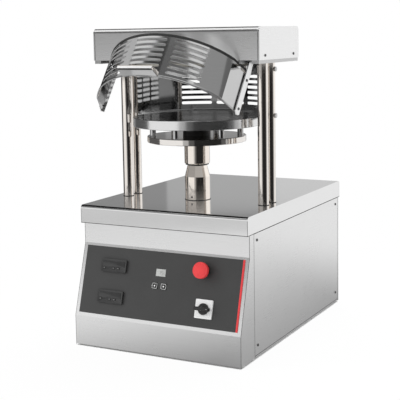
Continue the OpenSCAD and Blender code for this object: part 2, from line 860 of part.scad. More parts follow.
module cable_gland() {
    barrel_r = gland_bore + gland_wall;
    cap_r = barrel_r + gland_cap_wall;
    color("#242426") placed() translate([gland_x, body_back, gland_z]) rotate([-90, 0, 0]) difference() {
        union() {
            cylinder(r = barrel_r + gland_nut_wall, h = gland_l / 2, $fn = 6);
            cylinder(r = cap_r, h = gland_l - gland_cap_taper);
            translate([0, 0, gland_l - gland_cap_taper])
                cylinder(r1 = cap_r, r2 = barrel_r, h = gland_cap_taper);
            translate([0, 0, -sheet - gland_in]) cylinder(r = barrel_r, h = sheet + gland_in + eps);
            translate([0, 0, -sheet - gland_nut_h])
                cylinder(r = barrel_r + gland_nut_wall, h = gland_nut_h, $fn = 6);
        }
        translate([0, 0, -sheet - gland_in - eps])
            cylinder(r = gland_bore, h = sheet + gland_in + gland_l + 2 * eps);
    }
}

module worktop() {
    color("#b9bbbd") placed() difference() {
        translate([0, (worktop_back - worktop_front) / 2, worktop_z - skirt])
            round_top_box(worktop_w, worktop_d, skirt, edge_r);
        translate([0, (worktop_back - worktop_front) / 2, worktop_z - skirt - eps])
            round_top_box(worktop_w - 2 * sheet, worktop_d - 2 * sheet, skirt - sheet + eps, edge_r - sheet);
        at_columns([-1, 1]) translate([0, 0, bed_top - eps])
            cylinder(r = column_r + seam, h = sheet + 2 * eps);
        translate([0, 0, bed_top - eps]) cylinder(r = sleeve_r + seam, h = sheet + 2 * eps);
    }
}

module press_bed() {
    x = inner_half - seam - sheet - seam;
    color("#75777a") placed() difference() {
        slab(-x, x, -bed_d / 2, bed_d / 2, bed_z, bed_top);
        at_columns([-1, 1]) translate([0, 0, bed_z - eps])
            cylinder(r = stud_r + run_fit, h = bed_t + 2 * eps);
        translate([0, 0, bed_z - eps]) cylinder(r = sleeve_r + run_fit, h = bed_t + 2 * eps);
        translate([guide_rod_x, 0, bed_z - eps])
            cylinder(r = guide_rod_r - guide_rod_step + run_fit, h = bed_t + 2 * eps);
    }
}

module casing_screws() {
    color("#3a3b3c") placed() mirrored_x() {
        side_panel_screw_places() translate([body_w / 2, 0, 0]) rotate([0, 90, 0]) casing_screw();
        head_screw_places() translate([head_w / 2, 0, 0]) rotate([0, 90, 0]) casing_screw();
    }
}

// Columns

module column() {
    translate([0, 0, bed_top]) cylinder(r = column_r, h = crosshead_z - bed_top);
    translate([0, 0, bed_z - nut_h - stud_over]) cylinder(r = stud_r, h = bed_t + nut_h + stud_over + eps);
    translate([0, 0, crosshead_z - eps]) cylinder(r = stud_r, h = crosshead_t + nut_h + stud_over + eps);
}

module ducted_column() {
    difference() {
        column();
        translate([0, 0, bed_z - nut_h - stud_over - eps]) cylinder(r = duct_r, h = head_top - bed_z);
        for (z = cross_screw_z) translate([-column_r - eps, 0, z]) rotate([0, 90, 0])
            cylinder(r = cross_screw_r + seam, h = 2 * column_r + 2 * eps);
    }
}

module columns() {
    color("#d5d2cb") placed() {
        at_columns([-1]) column();
        at_columns([1]) ducted_column();
    }
}

module hex_nut() {
    difference() {
        cylinder(d = nut_flats / cos(30), h = nut_h, $fn = 6);
        translate([0, 0, -eps]) cylinder(r = stud_r + run_fit, h = nut_h + 2 * eps);
    }
}

module column_nuts() {
    color("#8b8d8f") placed() at_columns([-1, 1]) {
        translate([0, 0, bed_z - nut_h]) hex_nut();
        translate([0, 0, head_z]) hex_nut();
    }
}

// Head

module head_outline(inset, below) {
    translate([-head_front + head_d / 2, head_z - below])
        round_top(head_d - 2 * inset, head_h + below - inset, head_edge_r - inset);
}

module head_screw_places() {
    for (y = [-head_front + head_screw_in, head_d - head_front - head_screw_in])
        translate([0, y, head_z + head_screw_up]) children();
}

module hinge_lug() {
    difference() {
        union() {
            slab(lug_x, lug_x + rib_t, -pivot_front - lug_r, -pivot_front + lug_r, head_z - eps, pivot_z);
            translate([lug_x, -pivot_front, pivot_z]) rotate([0, 90, 0]) cylinder(r = lug_r, h = rib_t);
        }
        translate([lug_x - eps, -pivot_front, pivot_z]) rotate([0, 90, 0])
            cylinder(r = pivot_r, h = rib_t + 2 * eps);
    }
}

module crosshead() {
    x = head_w / 2 - side_t - seam;
    y0 = -head_front + sheet + seam;
    y1 = head_d - head_front - sheet - seam;
    color("#c2c3c4") placed() {
        difference() {
            slab(-x, x, y0, y1, crosshead_z, head_z);
            at_columns([-1, 1]) translate([0, 0, crosshead_z - eps])
                cylinder(r = stud_r + run_fit, h = crosshead_t + 2 * eps);
            plate_bolt_places() translate([0, 0, crosshead_z - eps])
                cylinder(r = plate_bolt_r + seam, h = crosshead_t + 2 * eps);
            mirrored_x() translate([notch_x, y0 - eps, crosshead_z - eps])
                cube([notch_w, lug_r - pivot_front - y0 + eps, crosshead_t + 2 * eps]);
        }
        for (side = [-1, 1]) translate([0, side * rib_y, 0])
            slab(-rib_half, rib_half, -rib_t / 2, rib_t / 2, head_z - eps, head_z + rib_h);
        mirrored_x() hinge_lug();
    }
}

module head_cover() {
    x = head_w / 2 - side_t - seam;
    color("#b4b6b8") placed() difference() {
        across(x) head_outline(0, 0);
        across(x + eps) head_outline(sheet, eps);
    }
}

module head_side_shape() {
    x = head_w / 2 - side_t;
    difference() {
        translate([x, 0, 0]) rotate([90, 0, 90]) linear_extrude(side_t) head_outline(0, 0);
        head_screw_places() translate([x - eps, 0, 0]) rotate([0, 90, 0])
            cylinder(r = screw_r + seam, h = side_t + 2 * eps, $fn = 24);
    }
}

module head_side_right() {
    color("#dcdcdb") placed() head_side_shape();
}

module head_side_left() {
    color("#dcdcdb") placed() mirror([1, 0, 0]) head_side_shape();
}

module plate_bolt_places() {
    for (x_side = [-1, 1]) for (y_side = [-1, 1])
        translate([x_side * plate_bolt_x, y_side * plate_bolt_y, 0]) children();
}

module upper_plate() {
    color("#8f9193") placed() difference() {
        translate([0, 0, upper_z]) edged_disc(plate_r, upper_plate_t);
        translate([0, 0, upper_top - heater_t]) cylinder(r = heater_out + seam, h = heater_t + eps);
        plate_bolt_places() translate([0, 0, upper_top - plate_bolt_depth])
            cylinder(r = plate_bolt_r + run_fit, h = plate_bolt_depth + eps);
    }
}

module upper_heater() {
    color("#b08d57") placed() translate([0, 0, upper_top - heater_t]) ring(heater_out, heater_in, heater_t);
}

module upper_insulation() {
    color("#d8d2bd") placed() difference() {
        translate([0, 0, upper_top]) cylinder(r = insulation_r, h = insulation_t);
        plate_bolt_places() translate([0, 0, upper_top - eps])
            cylinder(r = plate_bolt_r + seam, h = insulation_t + 2 * eps);
    }
}

module upper_plate_bolts() {
    end_z = upper_top - plate_bolt_depth + plate_bolt_end_gap;
    color("#8b8d8f") placed() plate_bolt_places() {
        translate([0, 0, head_z]) cylinder(d = plate_bolt_head_w, h = plate_bolt_head_h, $fn = 6);
        translate([0, 0, end_z]) cylinder(r = plate_bolt_r, h = head_z - end_z + eps);
    }
}

// Rear guard

module rear_guard() {
    h = rear_guard_top - rear_guard_z;
    color("#9fa1a3") placed() translate([0, column_half, 0]) difference() {
        union() {
            translate([0, 0, rear_guard_z]) intersection() {
                ring(rear_r, rear_r - guard_t, h);
                slab(-rear_r - eps, rear_r + eps, 0, rear_r + eps, 0, h);
            }
            mirrored_x() slab(rear_r - guard_t, rear_r, -rear_guard_lap, eps, rear_guard_z, rear_guard_top);
        }
        slot_field(rear_r, plate_top + rear_row_up);
        for (z = cross_screw_z) translate([-rear_r - eps, 0, z]) rotate([0, 90, 0])
            cylinder(r = cross_screw_r + seam, h = 2 * rear_r + 2 * eps);
    }
}

module rear_guard_screws() {
    nut_x = rear_r - guard_t - cross_head_h;
    head_x = column_x + column_r;
    color("#6d6f71") placed() mirrored_x() for (z = cross_screw_z)
        translate([0, column_half, z]) rotate([0, 90, 0]) {
            translate([0, 0, nut_x]) cylinder(r = cross_screw_r, h = head_x - nut_x + eps);
            translate([0, 0, head_x]) cylinder(r = cross_head_r, h = cross_head_h);
            translate([0, 0, nut_x]) cylinder(r = cross_head_r, h = cross_head_h, $fn = 6);
        }
}

// Front guard, drawn closed and turned up about its hinge axis

module raised() {
    placed() translate([0, -pivot_front, pivot_z]) rotate([-guard_open, 0, 0])
        translate([0, pivot_front, -pivot_z]) children();
}

module guard_curve_outline() {
    far = 2 * guard_r;
    intersection() {
        translate([0, -guard_centre]) difference() {
            circle(r = guard_r, $fn = 128);
            circle(r = guard_r - guard_t, $fn = 128);
        }
        translate([0, -guard_centre]) polygon([
            [0, 0],
            [far * sin(guard_half), -far * cos(guard_half)],
            [0, -2 * far],
            [-far * sin(guard_half), -far * cos(guard_half)]
        ]);
    }
}

module guard_end_outline() {
    translate([bend_x, bend_y]) rotate([0, 0, -guard_end_angle]) translate([-guard_t, -bend_lap])
        square([guard_t, guard_end_l + bend_lap]);
    translate([end_x - guard_t, end_y - bend_lap]) square([guard_t, arm_back - end_y + bend_lap]);
}

module guard_handle() {
    reach = -guard_centre - guard_r - handle_d;
    difference() {
        slab(-handle_w / 2, handle_w / 2, reach, -guard_centre, guard_z, guard_z + guard_t);
        translate([0, -guard_centre, guard_z - eps])
            cylinder(r = guard_r - guard_t / 2, h = guard_t + 2 * eps, $fn = 128);
    }
    slab(-handle_w / 2, handle_w / 2, reach, reach + guard_t, guard_z, guard_z + handle_lip);
}

module guard_screw_places() {
    for (z = [guard_z + arm_screw_end, guard_top - guard_end_drop - arm_screw_end])
        translate([0, arm_back - arm_screw_in, z]) children();
}

module front_guard() {
    row_z = guard_z + (guard_h - (slot_rows - 1) * slot_pitch) / 2;
    color("#8d8f91") raised() difference() {
        union() {
            translate([0, 0, guard_z]) linear_extrude(guard_h) guard_curve_outline();
            translate([0, 0, guard_z]) linear_extrude(guard_h - guard_end_drop)
                mirrored_x() guard_end_outline();
            guard_handle();
        }
        translate([0, -guard_centre, 0]) mirror([0, 1, 0]) slot_field(guard_r, row_z);
        guard_screw_places() translate([-end_x - eps, 0, 0]) rotate([0, 90, 0])
            cylinder(r = screw_r + seam, h = 2 * end_x + 2 * eps, $fn = 24);
    }
}

module guard_arm_shape() {
    difference() {
        translate([arm_x, 0, 0]) rotate([90, 0, 90]) linear_extrude(arm_t) {
            polygon([
                [arm_back - arm_w, arm_low + arm_point],
                [arm_back - arm_w / 2, arm_low],
                [arm_back, arm_low + arm_point],
                [arm_back, guard_top],
                [-pivot_front + arm_eye_w / 2, pivot_z],
                [-pivot_front - arm_eye_w / 2, pivot_z],
                [arm_back - arm_w, guard_top]
            ]);
            translate([-pivot_front, pivot_z]) circle(d = arm_eye_w);
        }
        translate([arm_x - eps, -pivot_front, pivot_z]) rotate([0, 90, 0])
            cylinder(r = pivot_r + run_fit, h = arm_t + 2 * eps);
        guard_screw_places() translate([arm_x - eps, 0, 0]) rotate([0, 90, 0])
            cylinder(r = screw_r + seam, h = arm_t + 2 * eps, $fn = 24);
    }
}

module guard_arms() {
    color("#d9d9d8") raised() mirrored_x() guard_arm_shape();
}

module guard_screws() {
    color("#3a3b3c") raised() mirrored_x() guard_screw_places()
        translate([arm_x + arm_t, 0, 0]) rotate([0, 90, 0]) casing_screw();
}

module guard_pivot_pins() {
    collar_x = lug_x + rib_t;
    head_x = arm_x + arm_t + seam;
    color("#77797b") placed() mirrored_x() translate([0, -pivot_front, pivot_z]) rotate([0, 90, 0]) {
        translate([0, 0, lug_x - pin_head]) cylinder(r = pivot_r, h = head_x - lug_x + pin_head + eps);
        translate([0, 0, collar_x]) cylinder(r = pivot_r + pin_head, h = arm_x - seam - collar_x);
        translate([0, 0, head_x]) cylinder(r = pivot_r + pin_head, h = pin_head);
    }
}

// Lift

module lower_plate() {
    color("#7f8183") placed() difference() {
        translate([0, 0, plate_z]) edged_disc(plate_r, lower_plate_t);
        translate([0, 0, plate_z - eps]) cylinder(r = heater_out + seam, h = heater_t + eps);
    }
}

module lower_heater() {
    color("#b08d57") placed() translate([0, 0, plate_z]) ring(heater_out, heater_in, heater_t);
}

module plate_standoffs() {
    color("#a5a7a9") placed() for (i = [0 : standoff_count - 1])
        rotate([0, 0, 360 / standoff_count * i]) translate([0, -standoff_pcr, standoff_z])
            cylinder(r = standoff_r, h = standoff_h, $fn = 32);
}

module insulating_block() {
    color("#2b2b2c") placed() translate([0, 0, standoff_z]) ring(block_r, rod_bore, standoff_h + heater_t);
}

module carrier_disc() {
    color("#a9abad") placed() translate([0, 0, carrier_z]) difference() {
        edged_disc(carrier_r, carrier_t);
        translate([0, 0, -eps]) cylinder(r = rod_bore, h = carrier_t + 2 * eps);
    }
}

module lift_hub() {
    color("#cfccc6") placed() translate([0, 0, hub_z]) difference() {
        edged_disc(hub_r, hub_h);
        translate([0, 0, -eps]) cylinder(r = spigot_r, h = hub_h + 2 * eps);
    }
}

module thread_outline() {
    turns = floor((thread_top - thread_z) / thread_pitch);
    polygon(concat(
        [[0, thread_z], [thread_r, thread_z]],
        [for (i = [0 : turns - 1]) for (p = [[0, 0.35], [thread_depth, 0.5], [thread_depth, 0.85], [0, 1]])
            [thread_r - p[0], thread_z + (i + p[1]) * thread_pitch]],
        [[thread_r, thread_top], [0, thread_top]]
    ));
}

module piston_rod() {
    color("#d5d2cb") placed() difference() {
        union() {
            translate([0, 0, torque_arm_z]) cylinder(r = rod_foot_r, h = torque_arm_h + eps);
            rotate_extrude() thread_outline();
            translate([0, 0, thread_top - eps]) cylinder(r = rod_r, h = hub_z - thread_top + eps);
            translate([0, 0, hub_z - eps]) cylinder(r = spigot_r, h = hub_h + eps);
        }
        translate([0, 0, torque_arm_z - eps]) cylinder(r = rod_bore, h = carrier_z - torque_arm_z + 2 * eps);
    }
}

module torque_arm() {
    eye = guide_rod_r + torque_eye_wall;
    color("#77797b") placed() translate([0, 0, torque_arm_z]) difference() {
        union() {
            cylinder(r = rod_foot_r + torque_hub_wall, h = torque_arm_h);
            slab(0, guide_rod_x, -eye + torque_web_in, eye - torque_web_in, 0, torque_arm_h);
            translate([guide_rod_x, 0, 0]) cylinder(r = eye, h = torque_arm_h);
        }
        translate([0, 0, -eps]) cylinder(r = rod_foot_r, h = torque_arm_h + 2 * eps);
        translate([guide_rod_x, 0, -eps]) cylinder(r = guide_rod_r + run_fit, h = torque_arm_h + 2 * eps);
    }
}

// Guide and drive

module guide_sleeve() {
    bush_r = rod_r + run_fit + bush_wall;
    color("#cfccc6") placed() difference() {
        union() {
            translate([0, 0, flange_z]) cylinder(r = flange_r, h = flange_t);
            translate([0, 0, flange_z]) cylinder(r = sleeve_r, h = sleeve_top - flange_z);
            translate([0, 0, sleeve_top]) cylinder(r1 = sleeve_r, r2 = cone_top_r, h = cone_h);
        }
        translate([0, 0, flange_z - eps]) cylinder(r = rod_r + rod_room, h = cone_top - flange_z + 2 * eps);
        for (z = [bed_z, sleeve_top - bush_h]) translate([0, 0, z]) cylinder(r = bush_r, h = bush_h);
        translate([0, 0, cone_top - wiper_h]) cylinder(r = rod_r + wiper_wall, h = wiper_h + eps);
        translate([0, 0, worktop_z + set_hole_up]) rotate([90, 0, 0])
            translate([0, 0, sleeve_r - set_hole_depth])
                cylinder(r = set_hole_r, h = 2 * set_hole_depth, $fn = 24);
    }
}

module guide_bushes() {
    color("#b08d57") placed() for (z = [bed_z, sleeve_top - bush_h]) translate([0, 0, z])
        ring(rod_r + run_fit + bush_wall, rod_r + run_fit, bush_h);
}

module rod_wiper() {
    color("#1d1d1e") placed() translate([0, 0, cone_top - wiper_h])
        ring(rod_r + wiper_wall, rod_r + run_fit, wiper_h + wiper_lip);
}

module bearing_housing() {
    color("#6f7173") placed() translate([0, 0, housing_z]) ring(flange_r, bearing_r, housing_h);
}

module nut_bearings() {
    color("#b9bbbd") placed() for (z = [bearing_low_z, bearing_high_z]) translate([0, 0, z])
        ring(bearing_r, nut_r + run_fit, bearing_h);
}

module screw_nut() {
    color("#b08d57") placed() difference() {
        union() {
            translate([0, 0, pulley_z]) cylinder(r = nut_r, h = flange_z - nut_top_gap - pulley_z);
            translate([0, 0, collar_z]) cylinder(r = collar_r, h = collar_h);
        }
        translate([0, 0, pulley_z - eps]) cylinder(r = thread_r + run_fit, h = flange_z - pulley_z);
    }
}

module belt_pulley(r, bore) {
    difference() {
        union() {
            cylinder(r = r, h = pulley_w);
            for (z = [0, pulley_w - pulley_flange_t]) translate([0, 0, z])
                cylinder(r = r + pulley_flange, h = pulley_flange_t);
        }
        translate([0, 0, -eps]) cylinder(r = bore, h = pulley_w + 2 * eps);
    }
}

module nut_pulley() {
    color("#9a9c9e") placed() translate([0, 0, pulley_z]) belt_pulley(pulley_r, nut_r);
}

module motor() {
    core_r = motor_r - motor_rib_h;
    color("#5d6470") placed() translate([0, motor_y, motor_z]) difference() {
        union() {
            cylinder(r = core_r, h = motor_h);
            cylinder(r = motor_r, h = motor_tail_h);
            translate([0, 0, motor_h - motor_cap_h]) cylinder(r = motor_r, h = motor_cap_h);
            for (i = [0 : motor_ribs - 1]) rotate([0, 0, 360 / motor_ribs * i])
                slab(core_r - motor_rib_low, motor_r - motor_rib_low, -motor_rib_t / 2, motor_rib_t / 2,
                    motor_tail_h - eps, motor_h - motor_cap_h + eps);
            slab(motor_r - motor_box_sink, motor_r + motor_box_out, -motor_box_w / 2, motor_box_w / 2,
                motor_box_z, motor_box_z + motor_box_h);
        }
        translate([0, 0, motor_shaft_z]) cylinder(r = shaft_r + run_fit, h = motor_h);
    }
}

module motor_shaft() {
    low = motor_z + motor_shaft_z;
    color("#c9cacb") placed() translate([0, motor_y, low])
        cylinder(r = shaft_r, h = pulley_z + pulley_w + motor_shaft_over - low);
}

module motor_pulley() {
    color("#9a9c9e") placed() translate([0, motor_y, pulley_z]) belt_pulley(motor_pulley_r, shaft_r);
}

module motor_hanger() {
    x = inner_half - 2 * seam - sheet - hanger_side_gap;
    y0 = motor_y - motor_r - hanger_margin;
    y1 = motor_y + motor_r + hanger_margin;
    color("#8b8d8f") placed() difference() {
        union() {
            slab(-x, x, y0, y1, hanger_z, hanger_z + hanger_t);
            mirrored_x() slab(x - hanger_t, x, y0, y1, hanger_z, bed_z - tube);
        }
        translate([0, motor_y, hanger_z - eps])
            cylinder(r = shaft_r + hanger_hole_room, h = hanger_t + 2 * eps);
    }
}

module belt_run(gap) {
    hull() {
        circle(r = pulley_r + gap);
        translate([0, motor_y]) circle(r = motor_pulley_r + gap);
    }
}

module drive_belt() {
    color("#1d1d1e") placed() translate([0, 0, pulley_z + belt_edge])
        linear_extrude(pulley_w - 2 * belt_edge) difference() {
            belt_run(belt_fit + belt_t);
            belt_run(belt_fit);
        }
}

module guide_rod() {
    low = torque_arm_z - guide_rod_over;
    color("#c9cacb") placed() translate([guide_rod_x, 0, 0]) {
        translate([0, 0, low]) cylinder(r = guide_rod_r, h = bed_z - low);
        translate([0, 0, bed_z - eps]) cylinder(r = guide_rod_r - guide_rod_step, h = bed_t + eps);
    }
}

// Power contactors on the tray, stepped like the usual block with its terminals low on both sides
module contactors() {
    color("#cfcfca") placed() for (side = [-1, 1])
        translate([contactor_x, side * contactor_pitch / 2, tray_z]) {
            translate([-contactor_d / 2, -contactor_w / 2, 0])
                cube([contactor_d, contactor_w, contactor_ledge]);
            translate([-contactor_d / 4, -contactor_w / 2, 0])
                cube([contactor_d / 2, contactor_w, contactor_h]);
        }
}

// Controls

module controller_places(s) {
    on_console(controller_x, s) children();
}

module button_place(side) {
    on_console(side * button_pitch / 2, button_s) children();
}

// Openings through panel and casing behind every control
module console_cutouts(n0, n1) {
    for (s = [controller_s_lower, controller_s_upper]) controller_places(s)
        console_block(bezel_w - 2 * bezel_lip + 2 * seam, bezel_h - 2 * bezel_lip + 2 * seam, n0, n1);
    on_console(0, display_s) console_block(display_w + 2 * seam, display_h + 2 * seam, n0, n1);
    for (side = [-1, 1]) button_place(side)
        console_block(button_w + 2 * button_gap, button_h + 2 * button_gap, n0, n1);
    on_console(estop_x, estop_s) translate([0, 0, n0])
        cylinder(r = estop_stem_r + estop_barrel_wall + seam, h = n1 - n0);
    on_console(switch_x, switch_s) translate([0, 0, n0])
        cylinder(r = spindle_r + switch_barrel_wall + seam, h = n1 - n0);
}

module control_panel() {
    color("#3a3a3c") placed() difference() {
        on_console(0, panel_s + panel_h / 2) console_block(2 * panel_half, panel_h, 0, panel_t);
        console_cutouts(-eps, panel_t + eps);
    }
}

module temperature_controller(s) {
    color("#242426") placed() controller_places(s) {
        console_block(bezel_w, bezel_h, panel_t, panel_t + bezel_rise);
        console_block(bezel_w - 2 * bezel_lip, bezel_h - 2 * bezel_lip, -controller_d, panel_t + eps);
    }
}

module upper_controller() {
    temperature_controller(controller_s_upper);
}

module lower_controller() {
    temperature_controller(controller_s_lower);
}

module timer_module() {
    face = -sheet - timer_set_back;
    board_w = button_pitch + button_w + 2 * timer_edge;
    board_h = display_s - button_s + display_h + 2 * timer_edge;
    color("#8f9a94") placed() on_console(0, display_s) {
        console_block(display_w, display_h, face - eps, panel_t);
        translate([0, (button_s - display_s) / 2, 0]) console_block(board_w, board_h, face - timer_d, face);
    }
}

module timer_button(side) {
    color("#4a4a4d") placed() button_place(side) {
        console_block(button_w, button_h, -sheet, panel_t + button_rise);
        translate([0, 0, -sheet - timer_set_back + button_travel + seam])
            cylinder(r = button_stem_r, h = timer_set_back, $fn = 24);
    }
}

module timer_down_button() {
    timer_button(-1);
}

module timer_up_button() {
    timer_button(1);
}

module estop_body() {
    barrel_n = -sheet - estop_barrel_l;
    color("#1f1f20") placed() on_console(estop_x, estop_s) difference() {
        union() {
            translate([0, 0, panel_t]) cylinder(r = estop_collar_r, h = estop_collar_h);
            translate([0, 0, barrel_n])
                cylinder(r = estop_stem_r + estop_barrel_wall, h = panel_t - barrel_n + eps);
            console_block(estop_block_w, estop_block_h, barrel_n + eps - estop_block_d, barrel_n + eps);
        }
        translate([0, 0, -sheet - estop_bore_in])
            cylinder(r = estop_stem_r + run_fit, h = sheet + estop_bore_in + panel_t + estop_collar_h + eps);
    }
}

module estop_stem() {
    low = -sheet - estop_barrel_l;
    high = panel_t + estop_up + estop_cap_h - estop_crown;
    color("#2b2b2c") placed() on_console(estop_x, estop_s) translate([0, 0, low])
        cylinder(r = estop_stem_r, h = high - low);
}

// Half section of the mushroom, with a dome over its rim
module estop_cap_outline() {
    dome_h = estop_cap_h - estop_rim_h;
    dome_r = (pow(estop_r, 2) + pow(dome_h, 2)) / (2 * dome_h);
    difference() {
        union() {
            square([estop_r - estop_rim_r, estop_rim_h]);
            translate([0, estop_rim_r]) square([estop_r, estop_rim_h - estop_rim_r]);
            translate([estop_r - estop_rim_r, estop_rim_r]) circle(r = estop_rim_r, $fn = 32);
            intersection() {
                translate([0, estop_cap_h - dome_r]) circle(r = dome_r, $fn = 96);
                translate([0, estop_rim_h - eps]) square([estop_r, estop_cap_h]);
            }
        }
        translate([-2 * estop_r, -estop_r]) square([2 * estop_r, 4 * estop_r]);
    }
}

module estop_cap() {
    color("#c8202a") placed() on_console(estop_x, estop_s) translate([0, 0, panel_t + estop_up])
        difference() {
            rotate_extrude() estop_cap_outline();
            translate([0, 0, -eps])
                cylinder(r = estop_stem_r + run_fit, h = estop_cap_h - estop_crown + seam + eps);
        }
}

module main_switch() {
    color("#e4e4e2") placed() on_console(switch_x, switch_s) difference() {
        union() {
            console_block(switch_w, switch_w, panel_t, panel_t + switch_t);
            translate([0, 0, -sheet - eps])
                cylinder(r = spindle_r + switch_barrel_wall, h = sheet + panel_t + 2 * eps);
            console_block(switch_block_w, switch_block_w, -sheet - switch_block_d, -sheet - seam);
        }
        translate([0, 0, -sheet - switch_bore_in])
            cylinder(r = spindle_r + run_fit, h = sheet + switch_bore_in + panel_t + switch_t + eps);
    }
}

module switch_knob() {
    foot = panel_t + switch_t + knob_gap;
    color("#1d1d1e") placed() on_console(switch_x, switch_s) {
        translate([0, 0, foot]) cylinder(r = knob_r, h = knob_base_h);
        console_block(grip_l, grip_w, foot + knob_base_h - eps, foot + knob_h);
        translate([0, 0, -sheet - spindle_in]) cylinder(r = spindle_r, h = sheet + spindle_in + foot + eps);
    }
}

bottom_tray();
feet();
base_frame();
front_fascia();
left_side_panel();
right_side_panel();
rear_panel();
cable_gland();
worktop();
press_bed();
casing_screws();
columns();
column_nuts();
crosshead();
head_cover();
head_side_left();
head_side_right();
upper_plate();
upper_heater();
upper_insulation();
upper_plate_bolts();
rear_guard();
rear_guard_screws();
guard_pivot_pins();
front_guard();
guard_arms();
guard_screws();
lower_plate();
lower_heater();
plate_standoffs();
insulating_block();
carrier_disc();
lift_hub();
piston_rod();
torque_arm();
guide_sleeve();
guide_bushes();
rod_wiper();
bearing_housing();
nut_bearings();
screw_nut();
nut_pulley();
motor();
motor_shaft();
motor_pulley();
motor_hanger();
drive_belt();
guide_rod();
contactors();
control_panel();
upper_controller();
lower_controller();
timer_module();
timer_down_button();
timer_up_button();
estop_body();
estop_stem();
estop_cap();
main_switch();
switch_knob();
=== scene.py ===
import json
import math

import bmesh
import bpy
from mathutils import Matrix, Vector


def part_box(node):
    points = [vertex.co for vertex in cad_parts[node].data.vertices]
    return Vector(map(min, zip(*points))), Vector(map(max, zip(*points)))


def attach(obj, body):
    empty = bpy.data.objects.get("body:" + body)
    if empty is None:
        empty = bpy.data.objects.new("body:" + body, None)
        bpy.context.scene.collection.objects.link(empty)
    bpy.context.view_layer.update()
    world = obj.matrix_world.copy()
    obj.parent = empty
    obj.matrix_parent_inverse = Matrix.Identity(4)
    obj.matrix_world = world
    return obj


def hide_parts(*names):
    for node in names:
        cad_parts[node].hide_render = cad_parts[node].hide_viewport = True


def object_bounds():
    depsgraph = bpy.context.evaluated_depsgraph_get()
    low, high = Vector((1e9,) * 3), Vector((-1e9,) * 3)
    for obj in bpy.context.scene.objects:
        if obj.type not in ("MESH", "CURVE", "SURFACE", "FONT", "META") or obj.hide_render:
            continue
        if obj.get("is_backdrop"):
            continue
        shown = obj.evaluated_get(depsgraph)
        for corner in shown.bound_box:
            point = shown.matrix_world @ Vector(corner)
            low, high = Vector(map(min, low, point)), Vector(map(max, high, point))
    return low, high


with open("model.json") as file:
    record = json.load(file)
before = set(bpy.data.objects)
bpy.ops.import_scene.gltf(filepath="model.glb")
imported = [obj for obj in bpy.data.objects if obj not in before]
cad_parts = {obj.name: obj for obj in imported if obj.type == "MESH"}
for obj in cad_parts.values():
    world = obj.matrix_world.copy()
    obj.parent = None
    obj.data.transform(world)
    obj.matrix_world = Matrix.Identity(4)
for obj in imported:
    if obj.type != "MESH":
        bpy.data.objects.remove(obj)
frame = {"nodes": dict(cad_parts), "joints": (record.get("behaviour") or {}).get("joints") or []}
nodes = frame["nodes"]
joints = {joint["name"]: joint for joint in frame["joints"]}
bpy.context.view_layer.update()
mm = 0.001
# The press axis stands upright at this depth
axisY = -68.947 * mm
# How far a raised piece reaches into its carrier, and a cutter past the face it cuts
sink, cutReach = 0.2 * mm, 1 * mm
print("frame loaded:", len(nodes), "nodes")


# Settings as rows of values under shared headings
def table(headings, rows):
    return {name: dict(zip(headings.split(), row)) for name, row in rows.items()}


# Shader sums as plain expressions
class Wire:
    def __init__(self, board, socket):
        self.board, self.socket = board, socket

    def joined(self, operation, first, second):
        return self.board.add("Math", {"operation": operation}, {0: first, 1: second})

    def __add__(self, other):
        return self.joined("ADD", self, other)

    def __radd__(self, other):
        return self.joined("ADD", other, self)

    def __sub__(self, other):
        return self.joined("SUBTRACT", self, other)

    def __rsub__(self, other):
        return self.joined("SUBTRACT", other, self)

    def __mul__(self, other):
        return self.joined("MULTIPLY", self, other)

    def __rmul__(self, other):
        return self.joined("MULTIPLY", other, self)

    def __lt__(self, other):
        return self.joined("LESS_THAN", self, other)

    def __gt__(self, other):
        return self.joined("GREATER_THAN", self, other)

    def most(self, other):
        return self.joined("MAXIMUM", self, other)

    def size(self):
        return self.joined("ABSOLUTE", self, 0.0)


class Board:
    def __init__(self, tree):
        self.tree = tree

    def feed(self, socket, value):
        if isinstance(value, Wire):
            self.tree.links.new(value.socket, socket)
        else:
            socket.default_value = value

    # Settings come first, because some of them change a node's sockets
    def add(self, kind, settings=None, sockets=None, output=0):
        node = self.tree.nodes.new("ShaderNode" + kind)
        for key, value in (settings or {}).items():
            setattr(node, key, value)
        for key, value in (sockets or {}).items():
            self.feed(node.inputs[key], value)
        return Wire(self, node.outputs[output])

    def coords(self, kind):
        return self.add("TexCoord", output=kind)

    def part(self, wire, axis):
        return self.add("SeparateXYZ", {}, {"Vector": wire}, axis)

    def ranged(self, wire, start, end, kind="LINEAR"):
        ends = {"From Min": start[0], "From Max": start[1], "To Min": end[0], "To Max": end[1]}
        return self.add("MapRange", {"interpolation_type": kind}, {"Value": wire, **ends})


class Finish(Board):
    def __init__(self, name, metallic):
        self.material = bpy.data.materials.new(name)
        self.material.use_nodes = True
        super().__init__(self.material.node_tree)
        self.shader = self.tree.nodes["Principled BSDF"]
        self.shader.inputs["Metallic"].default_value = metallic

    def drive(self, socket, wire):
        self.feed(self.shader.inputs[socket], wire)

    # Noise in object space, stretched by a scale for each axis
    def grain(self, scale, detail=2.0):
        spread = self.add("Mapping", {}, {"Vector": self.coords("Object"), "Scale": scale})
        return self.add("TexNoise", {}, {"Vector": spread, "Scale": 1.0, "Detail": detail})

    # Base colour along a ramp between two stops of (position, colour)
    def colour(self, tone, *stops):
        ramp = self.add("ValToRGB", {}, {"Fac": tone})
        for element, (position, shade) in zip(ramp.socket.node.color_ramp.elements, stops):
            element.position, element.color = position, (*shade, 1)
        self.drive("Base Color", ramp)

    # Roughness that swings about its mean with each wave
    def roughen(self, look, *waves):
        rough = look["rough"]
        for wave in waves:
            rough = rough + (wave - noiseMean) * look["spread"]
        self.drive("Roughness", rough)

    def bump(self, height, strength, depth):
        self.drive("Normal", self.add("Bump", {}, {"Strength": strength, "Distance": depth, "Height": height}))


noiseMean = 0.5


def grey(level, warm=0.0):
    return (level * (1 + warm), level, level * (1 - warm))


